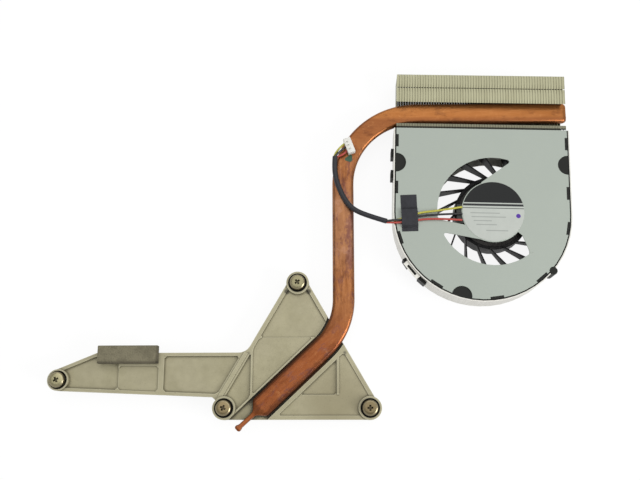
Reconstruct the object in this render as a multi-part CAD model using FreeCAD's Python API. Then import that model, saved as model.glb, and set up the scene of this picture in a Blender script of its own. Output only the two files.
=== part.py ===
import FreeCAD, Part
import os
from math import acos, atan2, cos, degrees, log, radians, sin, sqrt, tan

# Laptop heatsink with its blower: a die-cast base with spring-loaded captive screws, a flattened
# copper heat pipe, a stack of folded fins and a centrifugal fan whose motor hangs from the cover.
# Millimetres. The origin is the centre of the processor contact face, +Z points away from the board.

# Base casting
screw_spacing = 53.3            # side of the triangle of the three processor screws
boss_radius = 4.25
edge_offset = 3.4               # slanted edges, from the line between two screws
bottom_edge_offset = 4.15       # bottom edge, from the line between the two lower screws
casting_underside = 0.8
rim_top = 3.4
boss_height = 0.8               # above the rims
cup_radius = 3.45
cup_sides = 20
cup_floor = 0.8
screw_hole_radius = 1.8
hole_sides = 8
land_depth = 0.45               # lands below the rims
pocket_depth = 1.0              # pockets below the rims
pocket_corner = 0.9
rim_width = 1.5
junction_radius = 5.0           # inner corner between the triangle and the arm
panel_step_y = 10.4             # step between the two panels beside the pipe
divider_reach = 9.85            # thin upright rib left of the pipe, from the lower left screw
divider_width = 0.7
groove_rim = 0.6                # thin rim along the left of the pipe's groove
shelf_y = -10.6                 # lower edge of the small pocket right of the pipe
web_x = 14.6                    # thin upright rib at the right of that pocket
web_width = 0.85
corner_rib_width = 1.5
corner_rib_height = 0.3

# Arm of the casting, which reaches the fourth screw; reaches and rises are from the lower left screw
arm_screw_reach = 62.05
arm_screw_rise = 10.29
arm_boss_radius = 3.95
arm_top_rise = 20.19
arm_rim = 1.2
arm_shoulder_reach = 48.25      # where the top edge turns down to the fourth screw
arm_end_reach = 4.55            # where the bottom edge ends beside the lower left screw
arm_end_rise = 3.99
arm_panel_reach = 24.75         # raised panel of the arm, over the chipset
arm_panel_width = 15.0
arm_panel_rise = 15.39
arm_panel_rib = 2.0
arm_root_web = 1.4              # flat between the arm's pocket and the corner rib

# Processor slug, chipset pad and foam strip
slug_side = 22.0
slug_fit = 0.1                  # between the slug and its seat
chipset_pad_width = 12.0
chipset_pad_depth = 7.0
chipset_pad_thickness = 0.4
chipset_island_margin = 0.5
foam_length = 22.8
foam_depth = 6.7
foam_height = 2.6
foam_overhang = 2.6             # past the arm's top edge
foam_inset = 0.8                # from the shoulder of the arm

# Captive screws, each with a coil spring and a push-on retaining washer
head_radius = 2.9
head_height = 1.5
head_sides = 16
shank_radius = 1.5
shank_sides = 8
thread_radius = 1.25
thread_length = 4.0
spring_length = 3.1
spring_radius = 2.5
spring_wire = 0.5
spring_sides = 8
washer_thickness = 0.5
washer_radius = 2.6
washer_fit = 0.05
washer_sides = 8

# Heat pipe, flattened and bent in one plane
pipe_width = 8.2
pipe_thickness = 3.0
pipe_side_flats = 3             # flats that make up each round side
pipe_floor = 1.8                # underside of the pipe
pipe_base_bend = 25.5           # radii of the two bends
pipe_fin_bend = 28.7
pipe_run_x = 17.3               # the straight run that climbs beside the base
pipe_top_y = 98.3               # where the climbing run and the fin run meet
pipe_fin_angle = -0.55
pipe_base_angle = 43.3
pipe_corner_y = 13.6            # where the climbing run and the base run meet
pipe_base_run = 41.5            # from that corner to the end of the full section
pipe_fin_end_x = 103.0
pipe_nose = 1.6                 # crimped nose at the fin end
pipe_nose_width = 6.4
pipe_nose_thickness = 1.6
pipe_taper = 3.6                # necking from the full section to the fill stem
stem_radius = 1.15
stem_length = 7.3
stem_angle = 42.0
neck_flatness = 1.1             # width over height where the stem starts
stem_bead_radius = 1.45         # welded tip
stem_bead_length = 1.2
groove_clearance = 0.8

# Fan: place and turn, then sizes in the fan's own frame with the rotor axis as its origin
fan_x = 73.9
fan_y = 56.9
fan_angle = -1.9
fan_bottom = -4.2
fan_top = 7.3
arc_x = -4.1                    # centre of the round end
arc_y = -0.9
cover_radius = 32.6
round_end_sides = 26
cover_thickness = 0.4
outlet_y = 33.0
cover_gap = 0.5                 # between the cover's edge and the wall of the tray
tray_sheet = 0.4
tray_wall_drop = 0.1            # the wall ends below the cover's top
frame_fit = 0.05
frame_wall = 1.8
inlet_radius = 21.0
inlet_y = 0.4                   # centre of the inlet, above the rotor axis
inlet_sides = 48
disc_radius = 11.9              # middle disc of the cover, which carries the motor
web_top = (-4.4, 11.4, 36.8)    # a point on the web's upper edge and the edge's angle
web_low = (10.7, -9.1, -67.9)   # a point on the web's lower edge and the edge's angle
bridge_top = (-10.4, -5.4, 169.2)
bridge_low = (-0.6, -11.65, 170.0)
underside_inlet_radius = 22.0
cutoff_gap = 1.6                # between the blade tips and the frame
cutoff_tip = (17.0, 23.0)
cutoff_land = 1.0               # end of the cut-off at the outlet
half_round_radius = 3.8
half_round_places = [(180, 18.9), (0, 18.9), (256, arc_y)]
ear_thickness = 1.2
ear_margin = 0.7
stake_length = 5.0
stake_width = 0.9
stake_places = [(180, 27.8), (180, 8.9), (0, 27.4), (0, 7.7), (198, arc_y), (238, arc_y),
                (279, arc_y), (312, arc_y), (351, arc_y)]
post_places = [(180, 23.6), (180, 14.9), (213.8, arc_y), (228.9, arc_y)]
post_width = 3.4
post_reach = 1.0                # past the wall of the tray
post_bottom = -1.0
post_top = 4.5
post_room = 0.15
peg_angle = 320.5
peg_radius = 1.45
peg_sides = 12
latch_angle = 220.1
latch_width = 7.6
latch_reach = 1.7
latch_height = 6.2
latch_slot_inset = 0.35         # from the wall of the tray
latch_slot_width = 0.9
latch_slot_length = 4.6
catch_bottom = 4.95             # bar of the frame under the latch
catch_top = 5.65
catch_margin = 0.2              # past the slot at each end, and short of the latch's edge
tongue_length = 9.0             # sheet of the tray that runs under the fins

# Impeller and motor
blade_count = 17
blade_tip_radius = 25.5
blade_thickness = 0.5
blade_lean = 36.0               # from the radius, against the rotation
blade_start = 12.0              # angle of the first blade's root
blade_top = 5.2
blade_root_bottom = 2.6         # a blade is shallow at the hub
impeller_bottom = -2.9
hub_radius = 14.2
hub_top = 4.9
hub_wall = 1.2
hub_floor = 1.0
magnet_wall = 1.7
magnet_height = 5.4
magnet_sides = 24
air_gap = 0.5
shaft_radius = 1.0
shaft_clearance = 0.03
shaft_seat = 0.5                # depth of the shaft in the hub's floor
shaft_end_gap = 0.1
holder_fit = 0.02
holder_outer = 3.45
holder_sides = 12
holder_bottom = -0.2
holder_cap = 0.9
pole_count = 6
pole_width = 1.9
stator_bottom = 0.0
stator_thickness = 2.6
stator_yoke = 1.8
shoe_depth = 1.1
shoe_width = 8.0
coil_build = 0.55
coil_gap = 0.3
board_thickness = 0.8
board_radius = 11.4
board_sides = 8
board_room = 0.25               # round the bearing holder
board_tab_radius = 13.6
board_tab_low = -4.6
board_tab_high = 2.6
label_radius = 11.6
label_thickness = 0.1
label_sides = 28

# Fin stack
fin_count = 63
fin_pitch = 1.035
fin_sheet = 0.2
fin_flange_gap = 0.13           # between one fin's folded edge and the next fin
fin_rear_y = 55.4
fin_step_y = 43.9               # front edge of the deck
fin_seat_y = 46.9               # back of the pipe's seat, under the deck
fin_top = 7.1
fin_outlet_gap = 0.4
lip_sheet = 0.3                 # lip that closes the gap between the cover and the pipe
lip_width = 1.6
lip_top = 6.9

# Lead: three wires from the motor to a plug, the free length in a sleeve
cord_sides = 5
wire_diameter = 0.8
wire_lift = 0.12
bundle_side = 0.42              # places of the three wires in the sleeve's mouth
bundle_low = 0.24
bundle_high = 0.52
sleeve_diameter = 2.0
mouth_reach = 3.3               # from the cover's left edge to the mouth of the sleeve
mouth_y = -4.9
sleeve_lift = 0.05
tape_thickness = 0.15
tape_length = 6.1
tape_width = 14.3
tape_inset = 5.2                # its middle, from the cover's left edge
tape_y = -1.3
tape_room = 0.15                # over the wires
tape_hump_low = -6.2
tape_hump_high = -0.1
tape_slope = 0.9
plug_length = 6.2
plug_depth = 2.9
plug_height = 2.6
plug_x = 19.9
plug_y = 84.2
plug_angle = -70.0
plug_wall = 0.5
plug_mouth_depth = 1.8
terminal_pitch = 1.5
terminal_width = 0.6
terminal_height = 0.5

# Heights and radii that follow from the sizes above
boss_top = rim_top + boss_height
cup_bottom = casting_underside + cup_floor
head_bottom = cup_bottom + spring_length
washer_bottom = casting_underside - washer_thickness
thread_top = fan_bottom + thread_length
groove_half = pipe_width / 2 + groove_clearance
pipe_middle = pipe_floor + pipe_thickness / 2
pipe_top = pipe_floor + pipe_thickness
cover_underside = fan_top - cover_thickness
tray_floor = fan_bottom + tray_sheet
tray_inner = cover_radius + cover_gap
tray_outer = tray_inner + tray_sheet
frame_outer = tray_inner - frame_fit
frame_inner = frame_outer - frame_wall
hub_inner = hub_radius - hub_wall
hub_floor_top = impeller_bottom + hub_floor
magnet_inner = hub_inner - magnet_wall
stator_radius = magnet_inner - air_gap
holder_bore_top = fan_top - holder_cap
board_bottom = cover_underside - board_thickness
fin_left = arc_x - fin_count * fin_pitch / 2
fin_right = arc_x + fin_count * fin_pitch / 2
fin_front_y = outlet_y + fin_outlet_gap
wire_on_board = cover_underside + wire_diameter / 2 + wire_lift
wire_on_cover = fan_top + wire_diameter / 2 + wire_lift
sleeve_on_pipe = pipe_top + sleeve_diameter / 2 + sleeve_lift
sleeve_start_height = wire_on_cover + bundle_low
wire_in_plug = pipe_top + plug_height / 2


def point(x, y, z=0.0):
    return FreeCAD.Vector(x, y, z)


UP = point(0, 0, 1)


def along(angle, length=1.0):
    """A step of a given length in the direction of an angle."""
    return point(length * cos(radians(angle)), length * sin(radians(angle)))


def line(x, y, angle):
    """A straight line through a place, as a point and a direction."""
    return point(x, y), along(angle)


def crossing(first, second):
    """Where two straight lines meet."""
    start, direction = first
    other, across = second
    gap = other - start
    reach = (gap.x * across.y - gap.y * across.x) / (direction.x * across.y - direction.y * across.x)
    return start + direction * reach


def rounded_edges(points, radii):
    """Edges through the points, with a tangent arc at each inner point that has a radius."""
    edges = []
    last = points[0]
    for before, corner, after, radius in zip(points, points[1:], points[2:], radii):
        back = (before - corner).normalize()
        ahead = (after - corner).normalize()
        half = back.getAngle(ahead) / 2
        start = corner + back * (radius / tan(half))
        end = corner + ahead * (radius / tan(half))
        if (start - last).Length > 1e-6:
            edges.append(Part.LineSegment(last, start).toShape())
        if radius > 0:
            middle = corner + (back + ahead).normalize() * (radius / sin(half) - radius)
            edges.append(Part.Arc(start, middle, end).toShape())
        last = end
    edges.append(Part.LineSegment(last, points[-1]).toShape())
    return edges


def outline(corners, radii):
    """Closed wire through corners that are rounded by their radii."""
    middle = (corners[-1] + corners[0]) * 0.5
    return Part.Wire(rounded_edges([middle] + corners + [middle], radii))


def polygon(corners):
    return Part.makePolygon(corners + corners[:1])


def prism(wire, bottom, top):
    """Solid between two heights with a closed wire as its outline."""
    face = Part.Face(wire)
    face.translate(UP * bottom)
    return face.extrude(UP * (top - bottom))


def cylinder(x, y, radius, bottom, top):
    return Part.makeCylinder(radius, top - bottom, point(x, y, bottom))


def many_sided(radius, sides, bottom, top):
    """Upright prism whose corners stand on a circle."""
    return prism(polygon([along(number * 360 / sides, radius) for number in range(sides)]), bottom, top)


def box(x0, x1, y0, y1, z0, z1):
    return Part.makeBox(x1 - x0, y1 - y0, z1 - z0, point(x0, y0, z0))


def joined(shape, others):
    return shape.fuse(others).removeSplitter()


def turned(shape, angle):
    copy = shape.copy()
    copy.rotate(point(0, 0), UP, angle)
    return copy


def in_fan(shape):
    """Puts a shape from the fan's own frame into the part's frame."""
    placed = turned(shape, fan_angle)
    placed.translate(point(fan_x, fan_y))
    return placed


def fan_point(x, y, z):
    return point(fan_x, fan_y, z) + along(fan_angle, x) + along(fan_angle + 90, y)


def tangent_point(centre, radius, start, side):
    """Where a line from the start touches a circle; side is 1 or -1."""
    reach = start - centre
    turn = degrees(atan2(reach.y, reach.x)) + side * degrees(acos(radius / reach.Length))
    return centre + along(turn, radius)


def cord(points, diameter, name):
    """Plain tube along straight runs joined by tangent arcs as large as the runs allow."""
    radii = []
    for before, corner, after in zip(points, points[1:], points[2:]):
        turn = (corner - before).getAngle(after - corner)
        shorter = min((corner - before).Length, (after - corner).Length)
        radii.append(0.45 * shorter / tan(turn / 2))
    path = Part.Wire(rounded_edges(points, radii))
    direction = (points[1] - points[0]).normalize()
    side = direction.cross(UP).normalize()
    rise = side.cross(direction)
    rim = []
    for step in range(cord_sides):
        angle = radians(360 * step / cord_sides)
        rim.append(points[0] + (side * cos(angle) + rise * sin(angle)) * (diameter / 2))
    section = polygon(rim)
    tube = path.makePipeShell([section], True, False)
    ideal = Part.Face(section).Area * path.Length
    print(name, "length %.1f" % path.Length, "radii", ["%.1f" % radius for radius in radii],
          "volume ratio %.3f" % (tube.Volume / ideal))
    return tube


os.makedirs("parts", exist_ok=True)


def save(name, shape):
    shape.exportStep("parts/" + name + ".step")


# Screw places: the three processor screws stand on a circle round the origin
mount_radius = screw_spacing / sqrt(3)
top_screw = along(90, mount_radius)
left_screw = along(210, mount_radius)
right_screw = along(330, mount_radius)
arm_screw = left_screw + point(-arm_screw_reach, arm_screw_rise)
screw_places = [top_screw, left_screw, right_screw, arm_screw]
screw_boss_radii = [boss_radius, boss_radius, boss_radius, arm_boss_radius]

# Arm places that follow from the lower left screw
arm_top = left_screw.y + arm_top_rise
arm_shoulder_x = left_screw.x - arm_shoulder_reach
arm_end = left_screw + point(-arm_end_reach, arm_end_rise)
arm_panel_right = left_screw.x - arm_panel_reach
arm_panel_left = arm_panel_right - arm_panel_width
arm_panel_top = left_screw.y + arm_panel_rise
pad_x = (arm_panel_left + arm_panel_right) / 2
pad_y = (arm_panel_top + arm_end.y) / 2

# Heat pipe centre line, from the end on the base to the end on the fins
pipe_corner = point(pipe_run_x, pipe_corner_y)
pipe_turn = point(pipe_run_x, pipe_top_y)
pipe_fin_run = (pipe_fin_end_x - pipe_run_x) / cos(radians(pipe_fin_angle))
pipe_line = [pipe_corner - along(pipe_base_angle, pipe_base_run), pipe_corner, pipe_turn,
             pipe_turn + along(pipe_fin_angle, pipe_fin_run)]
pipe_radii = [pipe_base_bend, pipe_fin_bend]


def beside_pipe(offset):
    """The line beside the base run of the pipe; a positive offset is to the upper left."""
    start = pipe_corner + along(pipe_base_angle + 90, offset)
    return start, along(pipe_base_angle)


def pipe_section(centre, angle, width, thickness):
    """Flattened tube section across a run that points along the angle; its round sides have flats."""
    side = along(angle + 90)
    corners = []
    for number in range(2 * pipe_side_flats + 2):
        sense = 1 if number <= pipe_side_flats else -1
        flat = number if sense > 0 else number - pipe_side_flats - 1
        turn = radians(90 - 180 * flat / pipe_side_flats)
        across = (width - thickness) / 2 + cos(turn) * thickness / 2
        corners.append(centre + (side * across + UP * (sin(turn) * thickness / 2)) * sense)
    return polygon(corners)


def along_pipe(points, section):
    """Solid that follows the runs and bends of the pipe, with a section made for a place and an angle."""
    pieces = []
    for edge in rounded_edges(points, pipe_radii):
        start = edge.valueAt(edge.FirstParameter)
        heading = edge.tangentAt(edge.FirstParameter)
        face = Part.Face(section(start, degrees(atan2(heading.y, heading.x))))
        if isinstance(edge.Curve, Part.Circle):
            turn = degrees(edge.LastParameter - edge.FirstParameter)
            pieces.append(face.revolve(edge.Curve.Center, edge.Curve.Axis, turn))
        else:
            pieces.append(face.extrude(edge.valueAt(edge.LastParameter) - start))
    return joined(pieces[0], pieces[1:])


def tapered(first, last):
    """Solid with flat sides between two like sections."""
    starts = [vertex.Point for vertex in first.OrderedVertexes]
    ends = [vertex.Point for vertex in last.OrderedVertexes]
    faces = [Part.Face(first), Part.Face(last)]
    for number in range(len(starts)):
        sides = [starts[number - 1], starts[number], ends[number], ends[number - 1]]
        faces.append(Part.Face(polygon(sides)))
    return Part.Solid(Part.Shell(faces))


def heat_pipe():
    route = [place + UP * pipe_middle for place in pipe_line]
    body = along_pipe(route, lambda place, angle: pipe_section(place, angle, pipe_width, pipe_thickness))
    base_end = pipe_section(route[0], pipe_base_angle, pipe_width, pipe_thickness)
    fin_end = pipe_section(route[-1], pipe_fin_angle, pipe_width, pipe_thickness)
    nose_tip = route[-1] + along(pipe_fin_angle, pipe_nose)
    nose_end = pipe_section(nose_tip, pipe_fin_angle, pipe_nose_width, pipe_nose_thickness)
    nose = tapered(fin_end, nose_end)
    neck_tip = route[0] - along(pipe_base_angle, pipe_taper)
    neck_end = pipe_section(neck_tip, pipe_base_angle, 2 * stem_radius * neck_flatness, 2 * stem_radius)
    neck = tapered(base_end, neck_end)
    stem_root = neck_tip + along(pipe_base_angle, stem_radius)
    stem_tip = neck_tip - along(stem_angle, stem_length)
    stem_line = stem_tip - stem_root
    stem = Part.makeCylinder(stem_radius, stem_line.Length, stem_root, stem_line)
    bead = Part.makeCylinder(stem_bead_radius, stem_bead_length, stem_tip, stem_line)
    return joined(body, [nose, neck, stem, bead])


def pipe_groove():
    """Channel in the base that follows the pipe and runs out past its stem."""
    def section(place, angle):
        side = along(angle + 90, groove_half)
        low = UP * pipe_floor
        high = UP * boss_top
        return polygon([place - side + low, place + side + low, place + side + high, place - side + high])

    start = pipe_line[0] - along(pipe_base_angle, pipe_base_run)
    return along_pipe([start] + pipe_line[1:], section)


def pocket(lines, floor):
    """Pocket with a cut corner where each line meets the next, open above the floor."""
    corners = [crossing(first, second) for first, second in zip(lines, lines[1:] + lines[:1])]
    rim = []
    for before, corner, after in zip(corners[-1:] + corners, corners, corners[1:] + corners[:1]):
        rim.append(corner + (before - corner).normalize() * pocket_corner)
        rim.append(corner + (after - corner).normalize() * pocket_corner)
    return prism(polygon(rim), floor, boss_top)


def base_casting():
    bottom_y = left_screw.y - bottom_edge_offset
    left_edge = (top_screw + along(150, edge_offset), along(240))
    right_edge = (top_screw + along(30, edge_offset), along(300))
    arm_top_edge = line(0, arm_top, 0)
    shoulder = point(arm_shoulder_x, arm_top)
    tip_upper = tangent_point(arm_screw, arm_boss_radius, shoulder, 1)
    tip_lower = tangent_point(arm_screw, arm_boss_radius, arm_end, -1)
    corners = [left_edge[0], crossing(left_edge, arm_top_edge), shoulder, tip_upper, tip_lower, arm_end,
               left_screw, point(left_screw.x, bottom_y), point(right_screw.x, bottom_y),
               right_screw + along(30, edge_offset), right_edge[0]]
    radii = [0] * len(corners)
    radii[1] = junction_radius
    plate = prism(outline(corners, radii), casting_underside, rim_top)

    # Pockets of the triangle, between lines that run inside its rims and beside the pipe
    left_rim = (top_screw + along(150, edge_offset - rim_width), along(240))
    right_rim = (top_screw + along(30, edge_offset - rim_width), along(300))
    bottom_rim = line(0, bottom_y + rim_width, 0)
    step = line(0, panel_step_y, 0)
    shelf = line(0, shelf_y, 0)
    divider_x = left_screw.x + divider_reach
    groove_edge = beside_pipe(groove_half + groove_rim)
    pipe_rib = beside_pipe(-(groove_half + rim_width))
    pocket_floor = rim_top - pocket_depth
    land_floor = rim_top - land_depth
    pockets = [pocket([right_rim, left_rim, step], rim_top - (land_depth + pocket_depth) / 2),
               pocket([step, left_rim, line(divider_x + divider_width / 2, 0, 90), groove_edge], land_floor),
               pocket([left_rim, groove_edge, line(divider_x - divider_width / 2, 0, 90)], pocket_floor),
               pocket([right_rim, pipe_rib, bottom_rim], land_floor),
               pocket([pipe_rib, shelf, line(web_x, 0, 90)], pocket_floor)]
    web_top = crossing(pipe_rib, line(web_x + web_width, 0, 90)).y
    web = box(web_x, web_x + web_width, shelf_y, web_top, land_floor, rim_top)

    # Pockets of the arm, with a raised panel between them
    slant = (shoulder - tip_upper).normalize()
    slope = (arm_end - tip_lower).normalize()
    slant_rim = (shoulder - UP.cross(slant) * arm_rim, slant)
    slope_rim = (arm_end + UP.cross(slope) * arm_rim, slope)
    arm_top_rim = line(0, arm_top - arm_rim, 0)
    arm_root = (top_screw + along(150, edge_offset + arm_root_web), along(240))
    pockets += [pocket([arm_top_rim, line(arm_panel_right + arm_panel_rib, 0, 90), slope_rim, arm_root],
                       pocket_floor),
                pocket([arm_top_rim, slant_rim, slope_rim, line(arm_panel_left, 0, 90)], pocket_floor),
                pocket([line(0, arm_panel_top, 0), line(arm_panel_left, 0, 90), slope_rim,
                        line(arm_panel_right, 0, 90)], land_floor)]

    bosses = [cylinder(place.x, place.y, radius, casting_underside, boss_top)
              for place, radius in zip(screw_places, screw_boss_radii)]
    rib_side = along(150, corner_rib_width / 2)
    rib_start = crossing(left_edge, arm_top_edge)
    rib_end = left_screw + along(150, edge_offset)
    corner_rib = prism(polygon([rib_start + rib_side, rib_end + rib_side, rib_end - rib_side,
                                rib_start - rib_side]), rim_top - land_depth, rim_top + corner_rib_height)
    island_x = chipset_pad_width / 2 + chipset_island_margin
    island_y = chipset_pad_depth / 2 + chipset_island_margin
    island = box(pad_x - island_x, pad_x + island_x, pad_y - island_y, pad_y + island_y,
                 chipset_pad_thickness, casting_underside)
    casting = plate.cut(pockets).fuse(bosses + [web, corner_rib, island])

    seat = slug_side / 2 + slug_fit
    slug_seat = box(-seat, seat, -seat, seat, 0, pipe_floor)
    cup = many_sided(cup_radius, cup_sides, cup_bottom, boss_top)
    cups = [cup.translated(place) for place in screw_places]
    hole = many_sided(screw_hole_radius, hole_sides, casting_underside, cup_bottom)
    holes = [hole.translated(place) for place in screw_places]
    return casting.cut([pipe_groove(), slug_seat] + cups + holes).removeSplitter()


def contact_slug():
    half = slug_side / 2
    return box(-half, half, -half, half, 0, pipe_floor)


def chipset_pad():
    return box(pad_x - chipset_pad_width / 2, pad_x + chipset_pad_width / 2,
               pad_y - chipset_pad_depth / 2, pad_y + chipset_pad_depth / 2, 0, chipset_pad_thickness)


def foam_block():
    left = arm_shoulder_x + foam_inset
    rear = arm_top + foam_overhang
    return box(left, left + foam_length, rear - foam_depth, rear, rim_top, rim_top + foam_height)


def captive_screw(place):
    head = many_sided(head_radius, head_sides, head_bottom, head_bottom + head_height)
    shank = many_sided(shank_radius, shank_sides, thread_top, head_bottom)
    thread = cylinder(0, 0, thread_radius, fan_bottom, thread_top)
    screw = joined(head, [shank, thread])
    screw.translate(place)
    return screw


def screw_spring(place):
    """Coil spring, as the many-sided sleeve that its turns fill."""
    sleeve = many_sided(spring_radius, spring_sides, cup_bottom, head_bottom)
    sleeve = sleeve.cut(many_sided(spring_radius - spring_wire, spring_sides, cup_bottom, head_bottom))
    sleeve.translate(place)
    return sleeve


def retaining_washer(place):
    washer = many_sided(washer_radius, washer_sides, washer_bottom, casting_underside)
    hole_radius = (shank_radius + washer_fit) / cos(radians(180 / washer_sides))
    washer = washer.cut(many_sided(hole_radius, washer_sides, washer_bottom, casting_underside))
    washer.translate(place)
    return washer


def fin_stack():
    """One folded fin, stepped to seat the pipe, repeated side by side, and a lip along their front."""
    sheet = Part.Face(polygon([point(0, fin_front_y, tray_floor), point(0, fin_rear_y, tray_floor),
                               point(0, fin_rear_y, fin_top), point(0, fin_step_y, fin_top),
                               point(0, fin_seat_y, pipe_floor), point(0, fin_front_y, pipe_floor)]))
    flange = fin_pitch - fin_flange_gap
    fold = box(0, flange, fin_step_y, fin_rear_y, fin_top - fin_sheet, fin_top)
    fin = joined(sheet.extrude(point(fin_sheet, 0)), [fold])
    fins = []
    for number in range(fin_count):
        copy = fin.copy()
        copy.translate(point(fin_left + number * fin_pitch, 0))
        fins.append(copy)
    lip_back = fin_front_y + lip_sheet
    lip_under = lip_top - lip_sheet
    lip = Part.Face(polygon([point(fin_left, fin_front_y, pipe_floor), point(fin_left, lip_back, pipe_floor),
                             point(fin_left, lip_back, lip_under),
                             point(fin_left, fin_front_y + lip_width, lip_under),
                             point(fin_left, fin_front_y + lip_width, lip_top),
                             point(fin_left, fin_front_y, lip_top)]))
    return Part.makeCompound(fins + [lip.extrude(point(fin_right - fin_left, 0))])


def u_shape(radius, top):
    """Outline with two straight sides and a round end, which is made of short flats."""
    centre = point(arc_x, arc_y)
    step = 180 / round_end_sides
    end = [centre + along(180 + number * step, radius) for number in range(round_end_sides + 1)]
    return polygon([point(arc_x - radius, top)] + end + [point(arc_x + radius, top)])


def on_wall(shape, angle, y):
    """Turns a shape made at the right-hand wall to another place along the wall."""
    placed = turned(shape, angle)
    placed.translate(point(arc_x, y))
    return placed


def inlet_openings():
    """Two crescents in the cover, parted by a broad web and by the narrow bridge of the lead."""
    crescents = many_sided(inlet_radius, inlet_sides, cover_underside, fan_top)
    crescents.translate(point(0, inlet_y))
    crescents = crescents.cut(many_sided(disc_radius, inlet_sides, cover_underside, fan_top))
    far = 2 * inlet_radius
    web_edges = [point(*web_top[:2]), point(*web_low[:2])]
    web = polygon([point(0, 0), web_edges[0], web_edges[0] + along(web_top[2], far), point(far, 0),
                   web_edges[1] + along(web_low[2], far), web_edges[1]])
    bridge_edges = [point(*bridge_top[:2]), point(*bridge_low[:2])]
    bridge = polygon([point(0, 0), bridge_edges[0], bridge_edges[0] + along(bridge_top[2], far),
                      bridge_edges[1] + along(bridge_low[2], far), bridge_edges[1]])
    crescents = crescents.cut([prism(web, cover_underside, fan_top), prism(bridge, cover_underside, fan_top)])
    return crescents


def stakes(bottom, top):
    stake = box(cover_radius - stake_width, cover_radius, -stake_length / 2, stake_length / 2, bottom, top)
    return [on_wall(stake, angle, y) for angle, y in stake_places]


def fan_cover():
    sheet = prism(u_shape(cover_radius, outlet_y), cover_underside, fan_top)
    half_round = cylinder(cover_radius, 0, half_round_radius, cover_underside, fan_top)
    half_rounds = [on_wall(half_round, angle, y) for angle, y in half_round_places]
    notch = box(cover_radius - stake_width, cover_radius + cover_gap, -stake_length / 2, stake_length / 2,
                cover_underside, fan_top)
    notches = [on_wall(notch, angle, y) for angle, y in stake_places]
    motor_hole = many_sided(holder_outer + holder_fit, holder_sides, cover_underside, fan_top)
    peg_room = many_sided(peg_radius + post_room, peg_sides, cover_underside, fan_top)
    peg_room = peg_room.translated(point(tray_outer, 0))
    holes = [inlet_openings(), motor_hole, on_wall(peg_room, peg_angle, arc_y)]
    return sheet.cut(holes + half_rounds + notches)


def fan_frame():
    """Plastic scroll between the tray and the cover, with a cut-off beside the outlet."""
    wall = prism(u_shape(frame_outer, outlet_y), tray_floor, cover_underside)
    channel = prism(u_shape(frame_inner, outlet_y + frame_wall), tray_floor, cover_underside)
    wall = wall.cut(channel)
    right = arc_x + frame_inner
    wedge = prism(polygon([point(right, 0), point(right, outlet_y), point(right - cutoff_land, outlet_y),
                           point(*cutoff_tip), point(cutoff_tip[0], 0)]), tray_floor, cover_underside)
    swept = cylinder(0, 0, blade_tip_radius + cutoff_gap, tray_floor, cover_underside)
    half_ear = half_round_radius + ear_margin
    ear = box(cover_radius - half_ear, frame_inner + frame_wall / 2, -half_ear, half_ear,
              cover_underside - ear_thickness, cover_underside)
    ears = [on_wall(ear, angle, y) for angle, y in half_round_places]
    post = box(frame_inner, tray_outer + post_reach, -post_width / 2, post_width / 2, post_bottom, post_top)
    posts = [on_wall(post, angle, y) for angle, y in post_places]
    half_catch = latch_slot_length / 2 + catch_margin
    catch = box(frame_inner, tray_outer + latch_reach - catch_margin, -half_catch, half_catch, catch_bottom,
                catch_top)
    posts.append(on_wall(catch, latch_angle, arc_y))
    peg = many_sided(peg_radius, peg_sides, post_bottom, fan_top).translated(point(tray_outer, 0))
    placed_peg = on_wall(peg, peg_angle, arc_y)
    return joined(wall, [wedge.cut(swept), placed_peg] + ears + posts + stakes(cover_underside, fan_top))


def fan_tray():
    """Sheet tray with a drawn wall, an inlet in its floor and a tongue under the fins."""
    wall_top = fan_top - tray_wall_drop
    floor = prism(u_shape(tray_outer, outlet_y), fan_bottom, tray_floor)
    wall = prism(u_shape(tray_outer, outlet_y), tray_floor, wall_top)
    wall = wall.cut(prism(u_shape(tray_inner, outlet_y + cover_gap), tray_floor, wall_top))
    tongue = box(fin_left, fin_right, outlet_y, fin_front_y + tongue_length, fan_bottom, tray_floor)
    half_window = post_width / 2 + post_room
    window = box(frame_inner, tray_outer + post_reach, -half_window, half_window, post_bottom - post_room,
                 post_top + post_room)
    windows = [on_wall(window, angle, y) for angle, y in post_places]
    half_catch = latch_slot_length / 2 + catch_margin + post_room
    catch_window = box(frame_inner, tray_outer + post_room, -half_catch, half_catch, catch_bottom - post_room,
                       catch_top + post_room)
    windows.append(on_wall(catch_window, latch_angle, arc_y))
    peg_room = many_sided(peg_radius + post_room, peg_sides, post_bottom - post_room, wall_top)
    peg_room = peg_room.translated(point(tray_outer, 0))
    latch = box(tray_inner + tray_sheet / 2, tray_outer + latch_reach, -latch_width / 2, latch_width / 2,
                latch_height - tray_sheet, latch_height)
    slot_start = tray_outer + latch_slot_inset
    slot = box(slot_start, slot_start + latch_slot_width, -latch_slot_length / 2, latch_slot_length / 2,
               latch_height - tray_sheet, latch_height)
    inlet = many_sided(underside_inlet_radius, inlet_sides, fan_bottom, tray_floor)
    tray = joined(floor, [wall, tongue, on_wall(latch.cut(slot), latch_angle, arc_y)])
    return tray.cut([inlet, on_wall(peg_room, peg_angle, arc_y)] + windows)


def blade():
    """Thin flat blade that leans back from the radius, shallow at the hub and deepest at its tip."""
    ends = []
    for radius in (hub_radius - hub_wall / 2, blade_tip_radius):
        swept = degrees(tan(radians(blade_lean)) * log(radius / hub_radius))
        ends.append(along(swept, radius))
    root, tip = ends
    across = point(root.y - tip.y, tip.x - root.x).normalize() * blade_thickness
    outline = [root + point(0, 0, blade_root_bottom), tip + point(0, 0, impeller_bottom),
               tip + point(0, 0, blade_top), root + point(0, 0, blade_top)]
    return Part.Face(polygon([corner - across * 0.5 for corner in outline])).extrude(across)


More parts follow.
